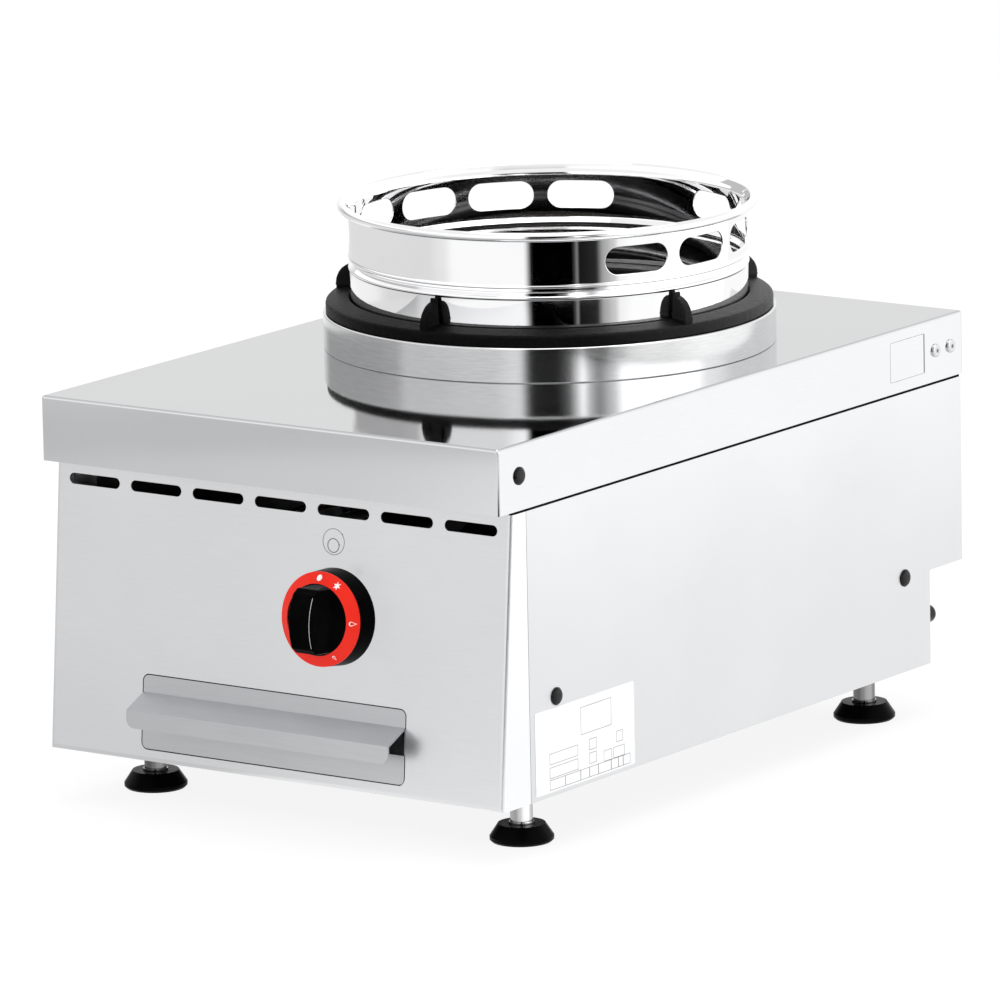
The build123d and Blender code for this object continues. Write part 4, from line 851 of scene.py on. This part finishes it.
def trivet_outline():
    base = SKIRT_HIGH.z + TRIVET_CLEARANCE
    crown = base + TRIVET_CROWN_HEIGHT
    seat_radius = WALL_RADIUS + TRIVET_SEAT_PLAY
    seat = crown - TRIVET_SEAT_DROP
    rib_outer = SKIRT_HIGH.x - BURNER_X - SKIRT_FLANGE - TRIVET_RIB_PLAY
    rib_inner = rib_outer - TRIVET_RIB_WIDTH
    points = [
        (TRIVET_INNER_RADIUS, seat),
        (TRIVET_INNER_RADIUS, seat - TRIVET_WEB),
        (rib_inner, seat - TRIVET_WEB),
        (rib_inner, base - TRIVET_RIB_DEPTH),
        (rib_outer, base - TRIVET_RIB_DEPTH),
        (rib_outer, base),
        (TRIVET_RADIUS, base),
        (TRIVET_RADIUS, base + TRIVET_EDGE_HEIGHT + 1 * MM),
        (seat_radius, crown + 0.3 * MM),
        (seat_radius, seat),
    ]
    radii = [value * MM for value in (0, 1, 1, 1.2, 1.2, 0.6, 0.8, 2.6, 1.4, 0.5)]
    line = rounded(points, radii)
    return line[1:] + [line[0]]


def divided(line, longest):
    """The closed outline with long straight runs cut into shorter ones."""
    out = []
    for one, two in zip(line, line[1:] + line[:1]):
        parts = max(1, math.ceil((two - one).length / longest))
        out += [one.lerp(two, index / parts) for index in range(parts)]
    return out


def lug_level(height, reach, grow):
    """One level of a lug, as a rounded rectangle of (outwards from its inner edge, across, up)."""
    share = max(height, 0) / LUG_HEIGHT
    thickness = LUG_THICKNESS + (LUG_TOP_THICKNESS - LUG_THICKNESS) * share
    deep = reach / 2 + grow
    wide = thickness / 2 + grow
    corner = min(LUG_CORNER, deep * 0.95, wide * 0.95)
    points = []
    steps = 5
    for quarter, (side_x, side_y) in enumerate(((1, 1), (-1, 1), (-1, -1), (1, -1))):
        for step in range(steps + 1):
            angle = math.radians(90) * (quarter + step / steps)
            points.append((
                reach / 2 + side_x * (deep - corner) + corner * math.cos(angle),
                side_y * (wide - corner) + corner * math.sin(angle),
                height,
            ))
    return points


def lug_levels():
    """A fin from its root in the ring, up its curved back to the flat tip."""
    shoulder = Vector((LUG_TIP, LUG_HEIGHT - LUG_TIP_HEIGHT))
    toe = Vector((LUG_REACH, 0))
    chord = toe - shoulder
    radius = (chord.length ** 2 / 4 + LUG_BULGE ** 2) / (2 * LUG_BULGE)
    outwards = Vector((-chord.y, chord.x)).normalized()
    centre = (shoulder + toe) / 2 - outwards * (radius - LUG_BULGE)
    start = math.atan2(toe.y - centre.y, toe.x - centre.x)
    end = math.atan2(shoulder.y - centre.y, shoulder.x - centre.x)
    levels = [lug_level(-TRIVET_SEAT_DROP, LUG_REACH, 0)]
    steps = 22
    for step in range(steps + 1):
        angle = start + (end - start) * step / steps
        height = centre.y + radius * math.sin(angle)
        flare = LUG_FLARE * max(0, 1 - height / LUG_FLARE_HEIGHT) ** 2
        levels.append(lug_level(height, centre.x + radius * math.cos(angle), flare if step else 0))
    levels.append(lug_level(LUG_HEIGHT - LUG_TIP_ROUND, LUG_TIP, 0))
    levels.append(lug_level(LUG_HEIGHT - LUG_TIP_ROUND / 3, LUG_TIP, -LUG_TIP_ROUND / 3))
    levels.append(lug_level(LUG_HEIGHT, LUG_TIP, -LUG_TIP_ROUND))
    return levels


def make_trivet(materials):
    line = divided(trivet_outline(), TRIVET_LONGEST_RUN)
    vertices, faces, normals = lathe(line, TRIVET_SEGMENTS)
    crown = SKIRT_HIGH.z + TRIVET_CLEARANCE + TRIVET_CROWN_HEIGHT
    inner = WALL_RADIUS + RIDGE + LUG_PLAY
    levels = lug_levels()
    count = len(levels[0])
    for index in range(LUG_COUNT):
        turn = LUG_FIRST + 2 * math.pi * index / LUG_COUNT
        outward = Vector((math.cos(turn), math.sin(turn), 0))
        across = Vector((-math.sin(turn), math.cos(turn), 0))
        start = len(vertices)
        for level in levels:
            for out, side, height in level:
                vertices.append(round_place(inner, turn, crown + height) + outward * out + across * side)
                normals.append((outward * (out - LUG_REACH / 3) + across * 2 * side).normalized())
        for row in range(len(levels) - 1):
            for column in range(count):
                one = start + row * count + column
                two = start + row * count + (column + 1) % count
                faces.append((one, two, two + count, one + count))
        faces.append(tuple(start + (len(levels) - 1) * count + column for column in range(count)))
    vertices = roughen(vertices, normals, CAST_ROUGHNESS, CAST_SCALE)
    piece = add_piece("cast_trivet", vertices, faces, materials["cast_iron"], "trivet")
    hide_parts("trivet_ring")


# ------------------------------------------------------------------ marks on the front
FRONT_ORIGIN = Vector((0, WORKTOP_LOW.y + PANEL_TOP_SET_BACK, WORKTOP_LOW.z))
FRONT_SLOPE = math.atan2(PANEL_LEAN, PANEL_DROP)
FRONT_OUT = Vector((0, -math.cos(FRONT_SLOPE), math.sin(FRONT_SLOPE)))
FRONT_UP = Vector((0, math.sin(FRONT_SLOPE), math.cos(FRONT_SLOPE)))
FRONT_RIGHT = Vector((1, 0, 0))


def front_place(x, down, out):
    return FRONT_ORIGIN + FRONT_RIGHT * x - FRONT_UP * down + FRONT_OUT * out


def flat_outline(points, place):
    """Vertices and one face from an outline of (right, up) laid on the object by place()."""
    return [place(*point) for point in points], [tuple(range(len(points)))]


def circle_points(radius, steps, centre=(0, 0)):
    angles = [2 * math.pi * index / steps for index in range(steps)]
    return [(centre[0] + radius * math.cos(a), centre[1] + radius * math.sin(a)) for a in angles]


def band(outer, inner, place):
    """A printed line between two outlines with as many points."""
    vertices = [place(*point) for point in outer + inner]
    count = len(outer)
    faces = []
    for index in range(count):
        after = (index + 1) % count
        faces.append((index, after, count + after, count + index))
    return vertices, faces


def join(parts):
    vertices = []
    faces = []
    for part_vertices, part_faces in parts:
        start = len(vertices)
        vertices += part_vertices
        faces += [tuple(start + index for index in face) for face in part_faces]
    return vertices, faces


def ring_mark_place(clock):
    """Lays (right, up) on the knob's cone at that angle clockwise from the top."""
    slope = math.atan2(KNOB_RING_OUT - KNOB_EDGE_OUT, KNOB_RADIUS - KNOB_RING_RADIUS)
    middle = (KNOB_RADIUS + KNOB_RING_RADIUS) / 2
    middle_out = (KNOB_EDGE_OUT + KNOB_RING_OUT) / 2

    def place(right, up):
        x = math.sin(clock) * middle + right
        y = math.cos(clock) * middle + up
        radius = math.hypot(x, y)
        share = radius - middle
        out = middle_out - share * math.tan(slope) + MARK_LIFT
        return front_place(KNOB_X + x, KNOB_DOWN - y, out)
    return place


def flame_points(size):
    """A drop-shaped flame with its tip up."""
    points = []
    steps = 20
    for index in range(steps + 1):
        angle = math.radians(-230 + 280 * index / steps)
        points.append((size * 0.62 * math.cos(angle), size * 0.62 * math.sin(angle) - size * 0.3))
    points.append((size * 0.12, size * 0.75))
    points.append((-size * 0.08, size * 1.0))
    return points


def turned_points(points, angle):
    return [
        (x * math.cos(angle) - y * math.sin(angle), x * math.sin(angle) + y * math.cos(angle))
        for x, y in points
    ]


def star_points(outer, inner, tips):
    points = []
    for index in range(2 * tips):
        radius = outer if index % 2 == 0 else inner
        angle = math.pi / 2 + math.pi * index / tips
        points.append((radius * math.cos(angle), radius * math.sin(angle)))
    return points


# Where the marks stand on the red ring, clockwise from the top, and their sizes
DOT_CLOCK = math.radians(0)
SPARK_CLOCK = math.radians(31)
HIGH_CLOCK = math.radians(90)
LOW_CLOCK = math.radians(150)
DOT_RADIUS = 2.1 * MM
SPARK_TIP = 2.9 * MM
SPARK_ROOT = 1.2 * MM
HIGH_FLAME = 2.6 * MM
LOW_FLAME = 1.8 * MM


def painted_grip_highlight():
    """A painted highlight: a pale hairline along the right-hand edge of the grip's arched face, where light
    catches it.
    """
    radius = (GRIP_REACH ** 2 + GRIP_ARCH ** 2) / (2 * GRIP_ARCH)
    vertices = []
    steps = 24
    for index in range(steps + 1):
        up = GRIP_HIGHLIGHT_LOW + (GRIP_HIGHLIGHT_HIGH - GRIP_HIGHLIGHT_LOW) * index / steps
        out = GRIP_OUT + GRIP_ARCH - radius + math.sqrt(radius ** 2 - up ** 2) + MARK_LIFT
        for right in (GRIP_HALF - GRIP_HIGHLIGHT_INSET - GRIP_HIGHLIGHT_WIDTH, GRIP_HALF - GRIP_HIGHLIGHT_INSET):
            vertices.append(front_place(KNOB_X + right, KNOB_DOWN - up, out))
    faces = [(2 * i, 2 * i + 1, 2 * i + 3, 2 * i + 2) for i in range(steps)]
    return vertices, faces


def make_knob_marks(materials):
    flame = turned_points(flame_points(HIGH_FLAME), -HIGH_CLOCK)
    inner_flame = [(0.72 * x, 0.72 * y) for x, y in flame]
    small = turned_points(flame_points(LOW_FLAME), -LOW_CLOCK)
    inner_small = [(0.66 * x, 0.66 * y) for x, y in small]
    parts = [
        flat_outline(circle_points(DOT_RADIUS, 32), ring_mark_place(DOT_CLOCK)),
        flat_outline(star_points(SPARK_TIP, SPARK_ROOT, 6), ring_mark_place(SPARK_CLOCK)),
        band(flame, inner_flame, ring_mark_place(HIGH_CLOCK)),
        band(small, inner_small, ring_mark_place(LOW_CLOCK)),
    ]
    vertices, faces = join(parts)
    add_piece("knob_marks", vertices, faces, materials["mark_white"], "knob")
    # Painted highlight: a pale strip where light catches the grip's edge.
    vertices, faces = painted_grip_highlight()
    add_piece("knob_grip_highlight", vertices, faces, materials["mark_silver"], "knob")


SYMBOL_X = 47.3 * MM
SYMBOL_DOWN = 36.2 * MM
SYMBOL_RADIUS = 9.5 * MM
SYMBOL_LINE = 0.45 * MM
SYMBOL_RING_RADIUS = 5.25 * MM
SYMBOL_RING_CENTRE = (-0.1 * MM, -2.7 * MM)
SYMBOL_RING_LINE = 1.6 * SYMBOL_LINE
SYMBOL_DOTS = ((7.4 * MM, 5.9 * MM), (5.1 * MM, -1.6 * MM))
SYMBOL_DOT_RADIUS = 0.55 * MM


def make_burner_symbol(materials):
    """Printed sign for the burner that the knob serves: a hob ring in a rounded frame."""
    def place(right, up):
        return front_place(SYMBOL_X + right, SYMBOL_DOWN - up, MARK_LIFT)

    parts = [
        band(circle_points(SYMBOL_RADIUS, 64), circle_points(SYMBOL_RADIUS - SYMBOL_LINE, 64), place),
        band(
            circle_points(SYMBOL_RING_RADIUS, 48, SYMBOL_RING_CENTRE),
            circle_points(SYMBOL_RING_RADIUS - SYMBOL_RING_LINE, 48, SYMBOL_RING_CENTRE), place,
        ),
    ]
    for dot in SYMBOL_DOTS:
        parts.append(flat_outline(circle_points(SYMBOL_DOT_RADIUS, 12, dot), place))
    vertices, faces = join(parts)
    add_piece("burner_symbol", vertices, faces, materials["mark_grey"], "base")


# ------------------------------------------------------------------ blank boxes on the data label
LABEL_LINE = 0.35 * MM
LABEL_LIFT = 0.05 * MM
# Left, low, right and high in mm from the label's front lower corner
LABEL_BOXES = [
    (56, 34, 94, 54), (17, 20, 52, 28), (17, 10, 52, 18), (66, 21, 75, 29), (66, 11, 75, 19),
    (100, 20, 108, 28), (84, 9, 94, 17), (96, 9, 110, 17),
]
LABEL_COLUMNS = (17, 36, 55, 66, 77, 93, 102, 108, 117)
LABEL_ROW = (1.5, 9.0)


def box_corners(left, low, right, high):
    return [(left, low), (right, low), (right, high), (left, high)]


def label_box(left, low, right, high):
    """A thin printed frame on the label."""
    def place(along, up):
        return Vector((LABEL_HIGH.x + LABEL_LIFT, LABEL_LOW.y + along, LABEL_LOW.z + up))

    left, low, right, high = (value * MM for value in (left, low, right, high))
    inner = box_corners(left + LABEL_LINE, low + LABEL_LINE, right - LABEL_LINE, high - LABEL_LINE)
    return band(box_corners(left, low, right, high), inner, place)


def make_label_lines(materials):
    low, high = LABEL_ROW
    row = [(left, low, right, high) for left, right in zip(LABEL_COLUMNS, LABEL_COLUMNS[1:])]
    vertices, faces = join([label_box(*box) for box in LABEL_BOXES + row])
    add_piece("label_lines", vertices, faces, materials["mark_grey"], "base")


# ------------------------------------------------------------------ studio
def stage_plane(name, corners, material, mirrored_only=False):
    mesh = bpy.data.meshes.new(name)
    mesh.from_pydata(corners, [], [tuple(range(len(corners)))])
    mesh.materials.append(material)
    plane = bpy.data.objects.new(name, mesh)
    bpy.context.scene.collection.objects.link(plane)
    if mirrored_only:
        plane.visible_camera = False
        plane.visible_diffuse = False
        plane.visible_shadow = False


FLOOR_HALF = 15.0
FLOOR_GLOW = 0.88
FLOOR_TONE = 0.12
REFLECTIONS_LIFT = 0.002        # the mirrored floor lies just above the one that is seen


def floor_material():
    """A lit sweep: mostly even light of its own, so that shadows stay faint."""
    nodes = Nodes("studio_floor")
    tone = nodes.noise(1.5, detail=2)
    dim = FLOOR_TONE * 0.97
    nodes.set(
        Base_Color=nodes.mix(tone, (dim, dim, dim), (FLOOR_TONE, FLOOR_TONE, FLOOR_TONE)), Roughness=0.9,
        Emission_Color=(1, 1, 1, 1), Emission_Strength=FLOOR_GLOW,
    )
    nodes.shader.inputs["Specular IOR Level"].default_value = 0.0
    return nodes.material


# What polished faces see: brightness by angle from the camera's heading, positive to the right.
FLOOR_BANDED = [
    (-180, 0.85), (-150, 0.76), (-72, 0.76), (-62, 0.84), (-54, 1.02), (-14, 1.02), (-9.5, 0.0), (13.6, 0.0),
    (15.2, 0.22), (16.8, 0.01), (26, 0.02), (31, 0.42), (36, 0.60), (40, 0.95), (48, 1.05), (180, 1.0),
]
FLOOR_PLAIN = [
    (-180, 1.0), (-120, 0.92), (-100, 0.72), (-50, 0.70), (-36, 1.0), (60, 1.0), (100, 1.02), (180, 1.0),
]
WORLD_LOW = [
    (-180, 1.06), (-168, 1.02), (-150, 0.54), (-100, 0.56), (-86, 0.62), (-78, 1.02), (-30, 1.05),
    (-16, 1.40), (-11, 0.0), (3, 0.0), (9, 0.20), (12.5, 1.3), (16, 3.2), (19.5, 1.3), (24, 0.62), (31, 1.30),
    (38, 3.0), (75, 3.0), (88, 1.75), (110, 1.25), (150, 1.20), (168, 1.06), (180, 1.06),
]
WORLD_MIDDLE = [
    (-180, 1.06), (-90, 1.2), (-15, 1.6), (-9.5, 0.0), (13, 0.0), (19, 0.08), (26, 0.06), (31, 0.5),
    (38, 1.3), (90, 1.3), (180, 1.06),
]
# Share of the bands by distance in metres: they lie where the wok ring mirrors the floor, and the
# worktop's own corner mirrors the plain part between.
BAND_REACH = [
    (0.90, 0.0), (1.00, 0.0), (1.06, 1.0), (1.63, 1.0), (1.67, 0.0), (1.83, 0.0), (1.87, 1.0), (2.00, 1.0),
]
STRIP_X = 0.815                 # a brighter strip to the right lights the lip
STRIP_SOFT = 0.02
STRIP_TURN = (60, 80)
STRIP_LIGHT = 1.33
WORLD_LIGHT = 0.95
LOW_TO_MIDDLE = (0.222, 0.240)  # sines of the elevations where one layer of the world gives way to the next
MIDDLE_TO_PLAIN = (0.40, 0.62)


def reflected_floor():
    """The bright and dark fields that stand round the range, as its polished faces mirror them."""
    nodes = Nodes("studio_reflections")
    apart = nodes.add("ShaderNodeSeparateXYZ")
    nodes.link(nodes.place, apart.inputs["Vector"])
    x = apart.outputs["X"]
    turn, distance = turned_from(nodes, x, nodes.math("SUBTRACT", apart.outputs["Y"], BURNER_Y))
    plain = through(nodes, turn, FLOOR_PLAIN)
    banded = through(nodes, turn, FLOOR_BANDED)
    edge = nodes.ramp(x, STRIP_X - STRIP_SOFT, STRIP_X + STRIP_SOFT)
    strip = nodes.math("MULTIPLY", edge, nodes.ramp(turn, *STRIP_TURN))
    floor = blended(nodes, through(nodes, distance, BAND_REACH), plain, banded)
    return glow_only(nodes, blended(nodes, strip, floor, STRIP_LIGHT))


def make_world():
    nodes = WorldNodes("studio_world")
    apart = nodes.add("ShaderNodeSeparateXYZ")
    nodes.link(nodes.place, apart.inputs["Vector"])
    up = apart.outputs["Z"]
    turn = turned_from(nodes, apart.outputs["X"], apart.outputs["Y"])[0]
    low = through(nodes, turn, WORLD_LOW)
    layers = blended(nodes, nodes.ramp(up, *LOW_TO_MIDDLE), low, through(nodes, turn, WORLD_MIDDLE))
    whole = blended(nodes, nodes.ramp(up, *MIDDLE_TO_PLAIN), layers, WORLD_LIGHT)
    nodes.link(whole, nodes.shader.inputs["Color"])
    bpy.context.scene.world = nodes.world


def area_light(name, place, target, size, power):
    data = bpy.data.lights.new(name, "AREA")
    data.shape = "RECTANGLE"
    data.size, data.size_y = size
    data.energy = power
    light = bpy.data.objects.new(name, data)
    light.location = place
    light.rotation_euler = (Vector(target) - Vector(place)).to_track_quat("-Z", "Y").to_euler()
    bpy.context.scene.collection.objects.link(light)


def floor_corners(height):
    return [(x, y, height) for x, y in box_corners(-FLOOR_HALF, -FLOOR_HALF, FLOOR_HALF, FLOOR_HALF)]


def make_studio():
    stage_plane("studio_floor", floor_corners(0), floor_material())
    stage_plane("studio_reflections", floor_corners(REFLECTIONS_LIFT), reflected_floor(), mirrored_only=True)
    make_world()
    area_light("top_light", (0.3, 0.2, 3.2), (0, 0, 0.2), (2.6, 2.6), 60)
    bpy.context.scene.view_settings.view_transform = "Standard"


# ------------------------------------------------------------------ the scene
make_camera()
materials = make_materials()
dress_frame(materials)
make_wok_ring(materials)
make_skirt(materials)
make_trivet(materials)
make_knob_marks(materials)
make_burner_symbol(materials)
make_label_lines(materials)
make_studio()
